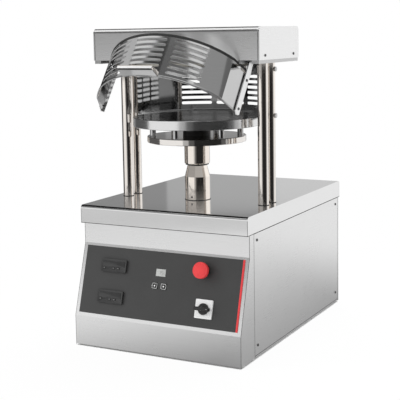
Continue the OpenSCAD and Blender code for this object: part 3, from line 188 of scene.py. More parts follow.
def blend(first, second, share):
    return first * share + second * (1 - share)


# Brushed or drawn steel: streaks run level on upright faces and across on top faces
brushing = {
    "stretch": 0.012, "smudge": 9, "detail": 4.0, "share": 0.7, "dark": 0.3, "pale": 0.7, "depth": 0.1 * mm,
}


def steelFinish(name, look):
    finish = Finish(name, metallic=1.0)
    up = finish.part(finish.coords("Normal"), "Z")
    fine, long = look["streaks"], look["streaks"] * brushing["stretch"]
    streak = blend(finish.grain((long, fine, long)), finish.grain((long, long, fine)), up * up)
    smudge = finish.grain((brushing["smudge"],) * 3, brushing["detail"])
    tone = blend(streak, smudge, brushing["share"])
    finish.colour(tone, (brushing["dark"], look["dark"]), (brushing["pale"], look["pale"]))
    finish.roughen(look, streak, smudge)
    finish.bump(streak, look["bump"], brushing["depth"])
    return finish.material


# Plates turned on a lathe: fine rings round the press axis, with upward faces painted darker than the rims as painted
# shade
turning = {"stain": 14, "detail": 5.0, "share": 0.4, "face": 0.1, "rim": 0.9, "depth": 0.1 * mm}


def turnedFinish(name, look):
    finish = Finish(name, metallic=1.0)
    level = {"Vector": finish.coords("Object"), "Location": (0, -axisY, 0), "Scale": (1, 1, 0)}
    radius = finish.add("VectorMath", {"operation": "LENGTH"}, {0: finish.add("Mapping", {}, level)}, "Value")
    rings = finish.add("TexNoise", {"noise_dimensions": "1D"}, {"W": radius * look["rings"], "Scale": 1.0})
    stain = finish.grain((turning["stain"],) * 3, turning["detail"])
    up = finish.part(finish.coords("Normal"), "Z")
    tone = (blend(rings, stain, turning["share"]) - noiseMean) * look["stain"]
    face, rim = turning["face"], turning["rim"]
    # Upward faces take the dark face colour and upright rims the pale one: painted shade on the plate tops
    finish.colour(face + (rim - face) * (1 - up * up) + tone, (face, look["face"]), (rim, look["rim"]))
    finish.roughen(look, rings, stain)
    finish.bump(rings, look["bump"], turning["depth"])
    return finish.material


# Moulded, painted or printed surfaces: mottled colour under a fine grain
coating = {"detail": 4.0, "share": 0.7, "dark": 0.3, "pale": 0.7, "depth": 0.2 * mm}


def coatFinish(name, look):
    finish = Finish(name, metallic=look["metal"])
    mottle = finish.grain((look["mottle"],) * 3, coating["detail"])
    fine = finish.grain((look["grain"],) * 3)
    tone = blend(mottle, fine, coating["share"])
    finish.colour(tone, (coating["dark"], look["dark"]), (coating["pale"], look["pale"]))
    finish.roughen(look, mottle, fine)
    finish.bump(fine, look["bump"], coating["depth"])
    return finish.material


# Zinc coat with its crystal pattern
def zincFinish(name, look):
    finish = Finish(name, metallic=1.0)
    crystals = {"Vector": finish.coords("Object"), "Scale": look["crystals"]}
    cells = finish.add("TexVoronoi", {}, crystals, "Color")
    tone = finish.add("SeparateColor", {}, {"Color": cells}, "Red")
    finish.colour(tone, (0.0, look["dark"]), (1.0, look["pale"]))
    finish.roughen(look, tone)
    return finish.material


steelLooks = table("pale dark rough spread streaks bump", {
    "stainless_casing": (grey(0.86), grey(0.82), 0.28, 0.03, 1500, 0.01),
    "polished_casing": (grey(0.87), grey(0.83), 0.1, 0.03, 1500, 0.01),
    "machined_steel": (grey(0.62), grey(0.52), 0.34, 0.12, 500, 0.08),
    "guard_steel": (grey(0.58), grey(0.53), 0.08, 0.04, 1500, 0.01),
    # The rear guard's steel is the guard steel painted darker, as painted shade inside the guard
    "rear_guard_steel_painted_shade": (grey(0.42), grey(0.38), 0.06, 0.03, 1500, 0.01),
    "polished_steel": (grey(0.88, 0.06), grey(0.82, 0.06), 0.07, 0.04, 700, 0.01),
    "turned_steel": (grey(0.9, 0.08), grey(0.84, 0.08), 0.08, 0.04, 1200, 0.02),
    "alloy": (grey(0.68), grey(0.58), 0.38, 0.12, 500, 0.06),
    "bronze": ((0.62, 0.42, 0.2), (0.5, 0.31, 0.13), 0.33, 0.12, 500, 0.06),
    "dark_screws": (grey(0.2), grey(0.12), 0.36, 0.12, 800, 0.04),
})
turnedLooks = table("rim face stain rough spread rings bump", {
    "press_plate": (grey(0.84), grey(0.11), 0.2, 0.21, 0.06, 1500, 0.02),
    "carrier": (grey(0.86, 0.04), grey(0.3, 0.04), 0.2, 0.1, 0.04, 1500, 0.01),
})
zincLooks = table("pale dark rough spread crystals", {
    "galvanised": (grey(0.66), grey(0.5), 0.38, 0.14, 90),
})
coatHeadings = "pale dark rough spread mottle grain bump metal"
coatLooks = table(coatHeadings, {
    "frame_paint": (grey(0.2), grey(0.15), 0.48, 0.12, 20, 900, 0.15, 0.0),
    "motor_paint": ((0.06, 0.085, 0.12), (0.04, 0.06, 0.09), 0.42, 0.14, 24, 800, 0.2, 0.0),
    "heater_foil": ((0.6, 0.42, 0.22), (0.45, 0.29, 0.14), 0.36, 0.16, 60, 700, 0.25, 0.8),
    "insulation_board": ((0.5, 0.48, 0.44), (0.4, 0.38, 0.34), 0.85, 0.08, 80, 1200, 0.4, 0.0),
    "black_insulator": (grey(0.03), grey(0.016), 0.5, 0.14, 40, 900, 0.2, 0.0),
    "black_rubber": (grey(0.032), grey(0.018), 0.72, 0.12, 40, 1400, 0.3, 0.0),
    "dark_panel": (grey(0.05), grey(0.043), 0.46, 0.06, 14, 1600, 0.1, 0.0),
    "black_gloss": (grey(0.04), grey(0.03), 0.34, 0.08, 40, 1800, 0.12, 0.0),
    "black_matte": (grey(0.03), grey(0.018), 0.5, 0.1, 60, 1800, 0.2, 0.0),
    "display": ((0.49, 0.5, 0.49), (0.42, 0.43, 0.42), 0.3, 0.06, 60, 900, 0.03, 0.0),
    "red_plastic": ((0.8, 0.05, 0.055), (0.72, 0.04, 0.045), 0.42, 0.08, 60, 1500, 0.08, 0.0),
    "pale_plastic": (grey(0.84), grey(0.76), 0.42, 0.08, 50, 1500, 0.1, 0.0),
})
makers = ((steelFinish, steelLooks), (turnedFinish, turnedLooks),
          (zincFinish, zincLooks), (coatFinish, coatLooks))
finishes = {slot: maker(slot, look) for maker, looks in makers for slot, look in looks.items()}

slotNodes = {
    "stainless_casing": "front_fascia left_side_panel right_side_panel rear_panel "
                        "head_cover head_side_left head_side_right guard_arms",
    "polished_casing": "worktop",
    "machined_steel": "crosshead press_bed column_nuts upper_plate_bolts guard_pivot_pins "
                      "rear_guard_screws guide_rod motor_shaft nut_bearings torque_arm bearing_housing",
    "guard_steel": "front_guard plate_standoffs",
    "rear_guard_steel_painted_shade": "rear_guard",
    "polished_steel": "columns piston_rod",
    "carrier": "carrier_disc",
    "turned_steel": "lift_hub guide_sleeve",
    "press_plate": "upper_plate lower_plate",
    "galvanised": "bottom_tray motor_hanger",
    "frame_paint": "base_frame",
    "motor_paint": "motor",
    "alloy": "nut_pulley motor_pulley",
    "bronze": "screw_nut guide_bushes",
    "heater_foil": "upper_heater lower_heater",
    "insulation_board": "upper_insulation",
    "black_insulator": "insulating_block",
    "black_rubber": "feet rod_wiper drive_belt",
    "dark_screws": "casing_screws guard_screws",
    "dark_panel": "control_panel",
    "black_gloss": "upper_controller lower_controller",
    "black_matte": "switch_knob estop_stem cable_gland timer_down_button timer_up_button estop_body",
    "display": "timer_module",
    "red_plastic": "estop_cap",
    "pale_plastic": "main_switch contactors",
}
for slot, names in slotNodes.items():
    for name in names.split():
        nodes[name].data.materials.clear()
        nodes[name].data.materials.append(finishes[slot])
print("finishes made:", len(finishes))


# Modelling steps shared by the pieces
def freshStart():
    if bpy.context.mode != "OBJECT":
        bpy.ops.object.mode_set(mode="OBJECT")
    bpy.ops.object.select_all(action="DESELECT")


def hold(piece):
    freshStart()
    piece.select_set(True)
    bpy.context.view_layer.objects.active = piece


def place(piece, matrix=Matrix.Identity(4)):
    hold(piece)
    piece.matrix_world = matrix @ piece.matrix_world
    bpy.ops.object.transform_apply(location=True, rotation=True, scale=True)
    return piece


def block(name, low, high):
    freshStart()
    low, high = Vector(low), Vector(high)
    bpy.ops.mesh.primitive_cube_add(size=1, location=(low + high) / 2)
    piece = bpy.context.object
    piece.name = piece.data.name = name
    piece.scale = high - low
    return place(piece)


# Leaves the piece in edit mode with the chosen faces, edges or points selected
def pick(piece, kind, test):
    hold(piece)
    bpy.ops.object.mode_set(mode="EDIT")
    bpy.ops.mesh.select_mode(type=kind)
    bpy.ops.mesh.select_all(action="DESELECT")
    shape = bmesh.from_edit_mesh(piece.data)
    for part in {"FACE": shape.faces, "EDGE": shape.edges, "VERT": shape.verts}[kind]:
        if test(part):
            part.select_set(True)
    bmesh.update_edit_mesh(piece.data)


def facing(direction, least=0.9):
    direction = Vector(direction)
    return lambda face: face.normal.dot(direction) > least


def along(direction, least=0.95):
    direction = Vector(direction)
    return lambda edge: abs((edge.verts[1].co - edge.verts[0].co).normalized().dot(direction)) > least


def extrude(*shift):
    bpy.ops.mesh.extrude_region_move(TRANSFORM_OT_translate={"value": shift})


def widen(grow, *centre):
    bpy.ops.transform.resize(value=(grow, grow, 1), center_override=centre)


def roundEdges(piece, direction, radius, segments=4):
    pick(piece, "EDGE", along(direction))
    bpy.ops.mesh.bevel(offset=radius, segments=segments)
    freshStart()
    return piece


def soften(piece, width, segments=2, angle=40):
    hold(piece)
    bevel = piece.modifiers.new("softEdges", "BEVEL")
    bevel.width, bevel.segments = width, segments
    bevel.limit_method, bevel.angle_limit = "ANGLE", math.radians(angle)
    bpy.ops.object.modifier_apply(modifier=bevel.name)
    return piece


# A turned shape from rings of (radius, height); a hollow one joins its last ring to its first
def turned(name, rings, sides, hollow=False):
    freshStart()
    bpy.ops.mesh.primitive_circle_add(vertices=sides, radius=rings[0][0], location=(0, 0, rings[0][1]),
                                      fill_type="NOTHING" if hollow else "NGON")
    piece = bpy.context.object
    piece.name = piece.data.name = name
    bpy.ops.object.mode_set(mode="EDIT")
    bpy.ops.mesh.select_mode(type="VERT")
    bpy.ops.mesh.select_all(action="SELECT")
    for (radius, height), (nextRadius, nextHeight) in zip(rings, rings[1:]):
        extrude(0, 0, nextHeight - height)
        widen(nextRadius / radius, 0, 0, nextHeight)
    bpy.ops.mesh.select_all(action="SELECT")
    bpy.ops.mesh.remove_doubles(threshold=1e-6)
    bpy.ops.mesh.normals_make_consistent(inside=False)
    return place(piece)


# A flat block with rounded corners and soft edges
def plate(name, middle, size, bottom, top, corner, edge):
    low = (middle[0] - size[0] / 2, middle[1] - size[1] / 2, bottom)
    high = (middle[0] + size[0] / 2, middle[1] + size[1] / 2, top)
    piece = roundEdges(block(name, low, high), (0, 0, 1), corner)
    return soften(piece, edge)


def copied(piece, name, matrix):
    hold(piece)
    bpy.ops.object.duplicate(linked=False)
    twin = bpy.context.object
    twin.name = twin.data.name = name
    return place(twin, matrix)


def joinedPiece(name, pieces):
    freshStart()
    for piece in pieces:
        piece.select_set(True)
    bpy.context.view_layer.objects.active = pieces[0]
    bpy.ops.object.join()
    pieces[0].name = pieces[0].data.name = name
    return pieces[0]


def cutOut(piece, cutter):
    hold(piece)
    cut = piece.modifiers.new("cutOut", "BOOLEAN")
    cut.operation, cut.object, cut.solver = "DIFFERENCE", cutter, "EXACT"
    bpy.ops.object.modifier_apply(modifier=cut.name)
    bpy.data.objects.remove(cutter)
    return piece


# Sinks a six-sided socket into a screw whose face lies at this height
def hexSocket(piece, look, face):
    rings = [(look["socket"], face - look["socketDeep"]), (look["socket"], face + cutReach)]
    return cutOut(piece, turned("hexagon", rings, sides=6))


def settle(piece, body, slot, standsFor=(), finish=None, angle=35):
    hold(piece)
    bpy.ops.object.shade_smooth_by_angle(angle=math.radians(angle))
    piece.data.materials.clear()
    piece.data.materials.append(finish or finishes[slot])
    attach(piece, body)
    if standsFor:
        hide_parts(*standsFor)


# The console's own frame: x to the right, y up along the slope, z out of the panel's face
slope = -Vector(joints["estop_push"]["axis"])
upSlope = slope.cross(Vector((1, 0, 0)))
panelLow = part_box("control_panel")[0]
panelThick = 1.5 * mm
console = Matrix.Identity(4)
console.col[1][:3], console.col[2][:3] = upSlope, slope
console.col[3][:3] = (0, panelLow.y, panelLow.z + panelThick * slope.z)


def consoleBox(name):
    points = [console.inverted() @ vertex.co for vertex in nodes[name].data.vertices]
    low = Vector(min(point[axis] for point in points) for axis in range(3))
    high = Vector(max(point[axis] for point in points) for axis in range(3))
    return low, high


def onConsole(piece):
    return place(piece, console)


# Temperature controllers
controller = {
    "corner": 2.5 * mm, "edge": 0.6 * mm, "rim": 3 * mm, "recess": 0.9 * mm, "lip": 3 * mm,
    "windowLow": 13 * mm, "windowIn": 5 * mm, "windowRise": 0.5 * mm,
    "windowCorner": 1 * mm, "windowEdge": 0.2 * mm,
    "keysX": (-26.5 * mm, 0.0, 13.7 * mm), "keyY": -6.6 * mm, "keySize": (9 * mm, 6.4 * mm),
    "keyRise": 0.8 * mm, "keyCorner": 2 * mm, "keyEdge": 0.3 * mm,
    "markSize": (3.4 * mm, 1.3 * mm), "markRise": 0.15 * mm, "markCorner": 0.5 * mm, "markEdge": 0.08 * mm,
    "looks": table(coatHeadings, {
        "controller_window": (grey(0.034), grey(0.026), 0.3, 0.06, 50, 900, 0.02, 0.0),
        "dim_ink": (grey(0.3), grey(0.24), 0.4, 0.06, 80, 1500, 0.03, 0.0),
    }),
}


def controllerCase(name, node):
    look = controller
    low, high = consoleBox(node)
    case = block(name, (low.x, low.y, 0), high)
    roundEdges(case, (0, 0, 1), look["corner"])
    pick(case, "FACE", facing((0, 0, 1)))
    bpy.ops.mesh.inset(thickness=look["rim"], depth=-look["recess"])
    pick(case, "FACE", facing((0, 0, -1)))
    bpy.ops.mesh.inset(thickness=look["lip"])
    extrude(0, 0, low.z)
    return soften(case, look["edge"])


def controllerFront(node):
    look = controller
    low, high = consoleBox(node)
    middle = (low + high) / 2
    face = high.z - look["recess"]
    windowTop, windowLow = high.y - look["windowIn"], low.y + look["windowLow"]
    spot = (middle.x, (windowTop + windowLow) / 2)
    size = (high.x - low.x - 2 * look["windowIn"], windowTop - windowLow)
    window = plate("window", spot, size, face - sink, face + look["windowRise"],
                   look["windowCorner"], look["windowEdge"])
    keys, marks = [], []
    for x in look["keysX"]:
        spot = (middle.x + x, middle.y + look["keyY"])
        top = face + look["keyRise"]
        keys.append(plate("key", spot, look["keySize"], face - sink, top, look["keyCorner"], look["keyEdge"]))
        marks.append(plate("mark", spot, look["markSize"], top - sink, top + look["markRise"],
                           look["markCorner"], look["markEdge"]))
    return window, joinedPiece("keys", keys), joinedPiece("marks", marks)


windowGlass, dimInk = (coatFinish(name, look) for name, look in controller["looks"].items())
for node in ("upper_controller", "lower_controller"):
    case = controllerCase(node + "_case", node)
    settle(onConsole(case), "frame", "black_gloss", [node])
    window, keys, marks = controllerFront(node)
    window.name, keys.name, marks.name = node + "_window", node + "_keys", node + "_marks"
    settle(onConsole(window), "frame", "black_gloss", finish=windowGlass)
    settle(onConsole(keys), "frame", "black_matte")
    settle(onConsole(marks), "frame", "pale_plastic", finish=dimInk)
print("controllers done")

# Timer: pale window with two dim digits
timer = {
    "windowIn": 0.4 * mm, "windowRise": 0.3 * mm, "windowCorner": 0.8 * mm, "windowEdge": 0.12 * mm,
    "digitHeight": 8.6 * mm, "digitWidth": 5 * mm, "digitPitch": 7.8 * mm, "stroke": 1.1 * mm, "tip": 0.49,
    "gap": 0.25 * mm, "rise": 0.12 * mm, "sink": 0.1 * mm, "shows": "15",
    "size": (27 * mm, 18 * mm), "edge": 7 * mm,
}
segmentsOf = {"1": "bc", "5": "acdfg"}


def timerDigits(middle, face):
    look = timer
    half = look["digitHeight"] / 2
    wide, stroke = look["digitWidth"], look["stroke"]
    length = half - look["gap"]
    bar = block("segment", (-length / 2, -stroke / 2, face - look["sink"]),
                (length / 2, stroke / 2, face + look["rise"]))
    roundEdges(bar, (0, 0, 1), stroke * look["tip"], segments=1)
    level = Matrix.Diagonal((wide / half, 1, 1, 1))
    upright = Matrix.Rotation(math.pi / 2, 4, "Z")
    spots = {
        "a": (0, half, level), "g": (0, 0, level), "d": (0, -half, level),
        "b": (wide / 2, half / 2, upright), "c": (wide / 2, -half / 2, upright),
        "f": (-wide / 2, half / 2, upright),
    }
    bars = []
    for index, figure in enumerate(look["shows"]):
        x = middle[0] + (index - (len(look["shows"]) - 1) / 2) * look["digitPitch"]
        for letter in segmentsOf[figure]:
            dx, dy, turn = spots[letter]
            bars.append(copied(bar, "bar", Matrix.Translation((x + dx, middle[1] + dy, 0)) @ turn))
    bpy.data.objects.remove(bar)
    return joinedPiece("timer_digits", bars)


timerTop = consoleBox("timer_module")[1].y - timer["edge"]
timerMiddle = (0, timerTop - timer["size"][1] / 2)
windowSize = [side - 2 * timer["windowIn"] for side in timer["size"]]
timerWindow = plate("timer_window", timerMiddle, windowSize, -sink, timer["windowRise"],
                    timer["windowCorner"], timer["windowEdge"])
settle(onConsole(timerWindow), "frame", "display")
settle(onConsole(timerDigits(timerMiddle, timer["windowRise"])), "frame", "display", finish=dimInk)

# Timer buttons: dark caps with a pale outline and a white dot
button = {
    "corner": 2.4 * mm, "edge": 0.3 * mm, "skirt": 2 * mm, "stem": 3 * mm,
    "ringIn": 0.9 * mm, "ringWidth": 0.75 * mm, "ringRise": 0.12 * mm, "ringEdge": 0.05 * mm,
    "dot": 2 * mm, "dotSide": 0.1 * mm, "dotRise": 0.15 * mm, "dotTop": 0.9, "dotSides": 24,
}


def outlineRing(middle, size, top):
    look = button
    ring = plate("ring", middle, size, top - sink, top + look["ringRise"], look["corner"], look["ringEdge"])
    inner, corner = [side - 2 * look["ringWidth"] for side in size], look["corner"] - look["ringWidth"]
    hole = plate("hole", middle, inner, top - cutReach, top + cutReach, corner, look["ringEdge"])
    return cutOut(ring, hole)


def timerButton(node, body):
    look = button
    low, high = consoleBox(node)
    middle = ((low.x + high.x) / 2, (low.y + high.y) / 2)
    size = (high.x - low.x, high.y - low.y)
    cap = plate(node + "_cap", middle, size, -look["skirt"], high.z, look["corner"], look["edge"])
    pick(cap, "FACE", facing((0, 0, -1)))
    bpy.ops.mesh.inset(thickness=size[1] / 2 - look["stem"])
    extrude(0, 0, low.z + look["skirt"])
    settle(onConsole(cap), body, "black_matte", [node])
    ringSize = [side - 2 * look["ringIn"] for side in size]
    ring = outlineRing(middle, ringSize, high.z)
    ring.name = node + "_outline"
    settle(onConsole(ring), body, "pale_plastic")
    r = look["dot"]
    rings = [(r, -sink), (r, look["dotSide"]), (r * look["dotTop"], look["dotRise"])]
    dot = turned(node + "_dot", rings, look["dotSides"])
    place(dot, Matrix.Translation((middle[0], middle[1], high.z)))
    settle(onConsole(dot), body, "pale_plastic")


timerButton("timer_down_button", "down_button")
timerButton("timer_up_button", "up_button")
print("timer done")

# Red edge strip along the panel's right side
edgeStrip = {"width": 4.5 * mm, "rise": 0.25 * mm, "wrap": 0.3 * mm, "edge": 0.2 * mm}
panelBox = consoleBox("control_panel")
strip = block("panel_edge_strip", (panelBox[1].x - edgeStrip["width"], panelBox[0].y, -panelThick),
              (panelBox[1].x + edgeStrip["wrap"], panelBox[1].y, edgeStrip["rise"]))
settle(onConsole(soften(strip, edgeStrip["edge"])), "frame", "red_plastic")

# Emergency stop: domed mushroom with a grip groove, and its bore for the stem
estop = {
    "bore": 6.2 * mm, "crown": 7 * mm, "rim": 11 * mm, "rimRound": 0.6 * mm, "tip": 0.001 * mm, "sides": 64,
    "skirt": ((2 * mm, 0), (0.6 * mm, 0.5 * mm), (0, 2 * mm)), "shoulder": (0.4 * mm, 1.4 * mm),
    "groove": 15.6 * mm, "grooveDeep": 0.35 * mm, "grooveOut": (1.6 * mm, 0.6 * mm), "grooveIn": (0.7 * mm, 2 * mm),
    "crownShares": (0.55, 0.4, 0.25, 0.1),
}


def estopCap():
    look = estop
    low, high = consoleBox("estop_cap")
    middle, radius, tall = (low + high) / 2, (high.x - low.x) / 2, high.z - low.z
    rise = tall - look["rim"]
    sphere = (radius ** 2 + rise ** 2) / (2 * rise)

    def dome(r):
        return (r, tall - sphere + math.sqrt(sphere ** 2 - r ** 2))

    groove = look["groove"]
    rings = [(look["bore"], 0)] + [(radius - inward, up) for inward, up in look["skirt"]]
    rings += [(radius, look["rim"] - look["rimRound"])]
    rings += [dome(radius - inward) for inward in look["shoulder"]]
    rings += [dome(groove + outward) for outward in look["grooveOut"]]
    rings += [(groove, dome(groove)[1] - look["grooveDeep"])]
    rings += [dome(groove - inward) for inward in look["grooveIn"]]
    rings += [dome(radius * share) for share in look["crownShares"]]
    ceiling = tall - look["crown"]
    rings += [(look["tip"], tall), (look["tip"], ceiling), (look["bore"], ceiling), (look["bore"], 0)]
    cap = turned("estop_mushroom_cap", rings, look["sides"], hollow=True)
    return place(cap, Matrix.Translation((middle.x, middle.y, low.z)))


settle(onConsole(estopCap()), "estop_mushroom", "red_plastic", ["estop_cap"], angle=50)
print("emergency stop done")

# Main switch: pale plate, black knob with a bar grip and a dim pointer
mainSwitch = {
    "thick": 4 * mm, "corner": 2.2 * mm, "edge": 0.6 * mm, "barrel": 10 * mm, "sheet": 2.75 * mm, "step": 0.05 * mm,
    "blockSide": 38 * mm, "bore": 4.1 * mm, "boreReach": 20 * mm, "boreSides": 32,
    "spindle": 4 * mm, "base": 4 * mm, "knobGap": 0.3 * mm, "knobRound": 1.2 * mm, "roundShare": 0.3, "knobSides": 64,
    "gripWidth": 9 * mm, "gripEdge": 1.4 * mm, "gripIn": 0.2 * mm, "gripSink": 0.5 * mm, "gripRound": 0.7,
    "pointer": (5 * mm, 1.1 * mm), "pointerIn": 2.5 * mm, "pointerRise": 0.12 * mm,
    "pointerCorner": 0.5 * mm, "pointerEdge": 0.05 * mm,
}


def switchPlate():
    look = mainSwitch
    low, high = consoleBox("main_switch")
    middle = (low + high) / 2
    side = high.x - low.x
    face = block("main_switch_plate", (low.x, middle.y - side / 2, 0),
                 (high.x, middle.y + side / 2, look["thick"]))
    roundEdges(face, (0, 0, 1), look["corner"])
    soften(face, look["edge"], segments=3)
    pick(face, "FACE", facing((0, 0, -1)))
    bpy.ops.mesh.inset(thickness=side / 2 - look["barrel"])
    extrude(0, 0, -look["sheet"])
    extrude(0, 0, -look["step"])
    widen(look["blockSide"] / (2 * look["barrel"]), middle.x, middle.y, 0)
    extrude(0, 0, low.z + look["sheet"] + look["step"])
    rings = [(look["bore"], -look["boreReach"]), (look["bore"], look["boreReach"])]
    bore = turned("bore", rings, look["boreSides"])
    return cutOut(face, place(bore, Matrix.Translation((middle.x, middle.y, 0))))


def switchKnob():
    look = mainSwitch
    low, high = consoleBox("switch_knob")
    middle, radius = (low + high) / 2, (high.y - low.y) / 2
    foot = look["thick"] + look["knobGap"]
    top, small = foot + look["base"], look["knobRound"] * look["roundShare"]
    rings = [(look["spindle"], low.z), (look["spindle"], foot), (radius, foot), (radius, top - look["knobRound"]),
             (radius - small, top - small), (radius - look["knobRound"], top)]
    base = place(turned("knob", rings, look["knobSides"]), Matrix.Translation((middle.x, middle.y, 0)))
    half = look["gripWidth"] / 2
    grip = block("grip", (low.x + look["gripIn"], middle.y - half, top - look["gripSink"]),
                 (high.x - look["gripIn"], middle.y + half, high.z))
    roundEdges(grip, (0, 0, 1), half * look["gripRound"], segments=5)
    soften(grip, look["gripEdge"], segments=3)
    knob = joinedPiece("main_switch_knob_grip", [base, grip])
    end = (high.x - look["pointer"][0] / 2 - look["pointerIn"], middle.y)
    pointer = plate("main_switch_pointer", end, look["pointer"], high.z - sink, high.z + look["pointerRise"],
                    look["pointerCorner"], look["pointerEdge"])
    return knob, pointer


settle(onConsole(switchPlate()), "frame", "pale_plastic", ["main_switch"])
knob, pointer = switchKnob()
settle(onConsole(knob), "main_switch_knob", "black_matte", ["switch_knob"])
settle(onConsole(pointer), "main_switch_knob", "pale_plastic", finish=dimInk)
print("main switch done")

# Socket screws of the casing and of the guard's arms
screw = {
    "head": 3.5 * mm, "tall": 1.8 * mm, "crown": ((1, 0.5), (0.93, 0.8), (0.72, 1)), "sides": 24,
    "shank": 2 * mm, "shankLong": 7 * mm, "socket": 1.3 * mm, "socketDeep": 1.1 * mm, "apart": 9 * mm,
}


def socketScrew():
    look = screw
    r, h = look["head"], look["tall"]
    rings = [(look["shank"], -look["shankLong"]), (look["shank"], 0), (r, 0)]
    rings += [(r * out, h * up) for out, up in look["crown"]]
    return hexSocket(turned("screw", rings, look["sides"]), look, h)


# Middle of each screw in a node, from the points that lie close together
def screwSpots(node):
    spots = []
    for vertex in nodes[node].data.vertices:
        point = vertex.co
        for spot in spots:
            if (spot[0] - point).length < screw["apart"]:
                spot[1] = Vector(map(min, spot[1], point))
                spot[2] = Vector(map(max, spot[2], point))
                break
        else:
            spots.append([point.copy(), point.copy(), point.copy()])
    return [((low + high) / 2, low, high) for _, low, high in spots]


oneScrew = socketScrew()
for node, body in (("casing_screws", "frame"), ("guard_screws", "guard")):
    screws = []
    for middle, low, high in screwSpots(node):
        side = 1 if middle.x > 0 else -1
        seat = (high.x if side > 0 else low.x) - side * screw["tall"]
        turn = Matrix.Rotation(side * math.pi / 2, 4, "Y")
        screws.append(copied(oneScrew, "screw", Matrix.Translation((seat, middle.y, middle.z)) @ turn))
    print(node, len(screws), "screws")
    settle(joinedPiece(node + "_heads", screws), body, "dark_screws", [node])
bpy.data.objects.remove(oneScrew)

# Guard trim, shaped on the closed guard and then swung up with it
guard = {
    "radius": 196 * mm, "centre": -16.0085 * mm, "half": 62, "endLong": 55.5 * mm, "endAngle": 17, "tail": 11 * mm,
    "low": 566 * mm, "top": 686 * mm, "sheet": 1.5 * mm, "steps": 48,
    "hemHeight": 5.5 * mm, "topHemHeight": 6.5 * mm, "hemThick": 1.1 * mm, "hemEdge": 0.45 * mm,
    "endBand": 3 * mm, "endArea": 1.5, "endLevel": 0.1,
    "handleWide": 94 * mm, "handleDeep": 28 * mm, "handleUp": 8 * mm,
    "beadFront": 0.6 * mm, "beadBack": 2.1 * mm, "beadUp": 0.9 * mm, "beadTall": 1.2 * mm, "beadEdge": 0.9 * mm,
    "gussetUp": 5 * mm, "gussetTip": 1 * mm, "gussetEdge": 0.3 * mm,
    "padIn": 0.5 * mm, "padLow": 1 * mm, "padThick": 0.5 * mm, "padCorner": 1.5 * mm, "padEdge": 0.2 * mm,
    "stripDeep": 5 * mm, "stripThick": 0.4 * mm, "stripEdge": 0.15 * mm,
}
hinge = Vector(joints["guard_hinge"]["pos_m"])
swing = -math.radians(joints["guard_hinge"]["range_deg"][1])
raised = Matrix.Translation(hinge) @ Matrix.Rotation(swing, 4, "X") @ Matrix.Translation(-hinge)


def guardHem(name, bottom, tall):
    look = guard
    centre = Vector((0, axisY + look["centre"], 0))
    freshStart()
    bpy.ops.mesh.primitive_plane_add(size=1, location=(0, -look["radius"] - look["hemThick"] / 2, 0),
                                     rotation=(0, math.pi / 2, 0))
    hem = bpy.context.object
    hem.name = hem.data.name = name
    hem.scale = (tall, look["hemThick"], 1)
    place(hem)
    start = Matrix.Rotation(-math.radians(look["half"]), 4, "Z")
    place(hem, Matrix.Translation(centre + Vector((0, 0, bottom + tall / 2))) @ start)
    bpy.ops.object.mode_set(mode="EDIT")
    bpy.ops.mesh.select_all(action="SELECT")
    bpy.ops.mesh.spin(steps=look["steps"], angle=-math.radians(2 * look["half"]), center=centre, axis=(0, 0, 1))
    bend = look["radius"] * math.sin(math.radians(look["half"])) - look["endBand"]
    area = look["endArea"] * tall * look["hemThick"]
    lean = math.radians(look["endAngle"])
    for side in (-1, 1):
        pick(hem, "FACE", lambda face: face.calc_center_median().x * side > bend
             and abs(face.normal.z) < look["endLevel"] and face.calc_area() < area)
        extrude(*Vector((side * math.sin(lean), math.cos(lean), 0)) * look["endLong"])
        extrude(0, look["tail"], 0)
    bpy.ops.mesh.select_all(action="SELECT")
    bpy.ops.mesh.normals_make_consistent(inside=False)
    return soften(hem, look["hemEdge"])


# Front edge, half width and upper edge of the handle's lip
def handleLip():
    front = axisY + guard["centre"] - guard["radius"] - guard["handleDeep"]
    return front, guard["handleWide"] / 2, guard["low"] + guard["handleUp"]


def guardHandle():
    look = guard
    front, half, top = handleLip()
    back = axisY + look["centre"] - math.sqrt(look["radius"] ** 2 - half ** 2)
    bead = block("bead", (-half, front - look["beadFront"], top - look["beadTall"]),
                 (half, front + look["beadBack"], top + look["beadUp"]))
    parts = [soften(bead, look["beadEdge"], segments=3)]
    for side in (-1, 1):
        outer, inner = side * half, side * (half - look["sheet"])
        gusset = block("gusset", (min(outer, inner), front, look["low"] + sink),
                       (max(outer, inner), back, top + look["gussetUp"]))
        pick(gusset, "VERT", lambda point: point.co.y < front + look["gussetTip"] and point.co.z > top)
        bpy.ops.transform.translate(value=(0, 0, -look["gussetUp"]))
        parts.append(soften(gusset, look["gussetEdge"]))
    return joinedPiece("guard_handle_trim", parts)


# Pale facing on the lip's front: a painted highlight along the lip
def guardHighlightPad():
    look = guard
    front, half, top = handleLip()
    half -= look["padIn"]
    pad = block("guard_handle_highlight_pad", (-half, front - look["padThick"], look["low"] + look["padLow"]),
                (half, front + sink, top - look["beadTall"]))
    roundEdges(pad, (0, 1, 0), look["padCorner"])
    return soften(pad, look["padEdge"])


# Dark strip under the handle, behind its lip: painted shadow under the lip
def guardShadowStrip():
    look = guard
    front, half, _ = handleLip()
    half -= look["padIn"]
    front += look["padIn"]
    strip = block("guard_handle_shadow_strip", (-half, front, look["low"] - look["stripThick"]),
                  (half, front + look["stripDeep"], look["low"] + sink))
    return soften(strip, look["stripEdge"])


lowerHem = guardHem("guard_lower_hem", guard["low"] - guard["hemEdge"], guard["hemHeight"])
topHemLow = guard["top"] + guard["hemEdge"] - guard["topHemHeight"]
# The upper hem is dark rubber: a hem that also paints the shade along the guard's top edge against the head
upperHemShade = guardHem("guard_upper_hem_painted_shade", topHemLow, guard["topHemHeight"])
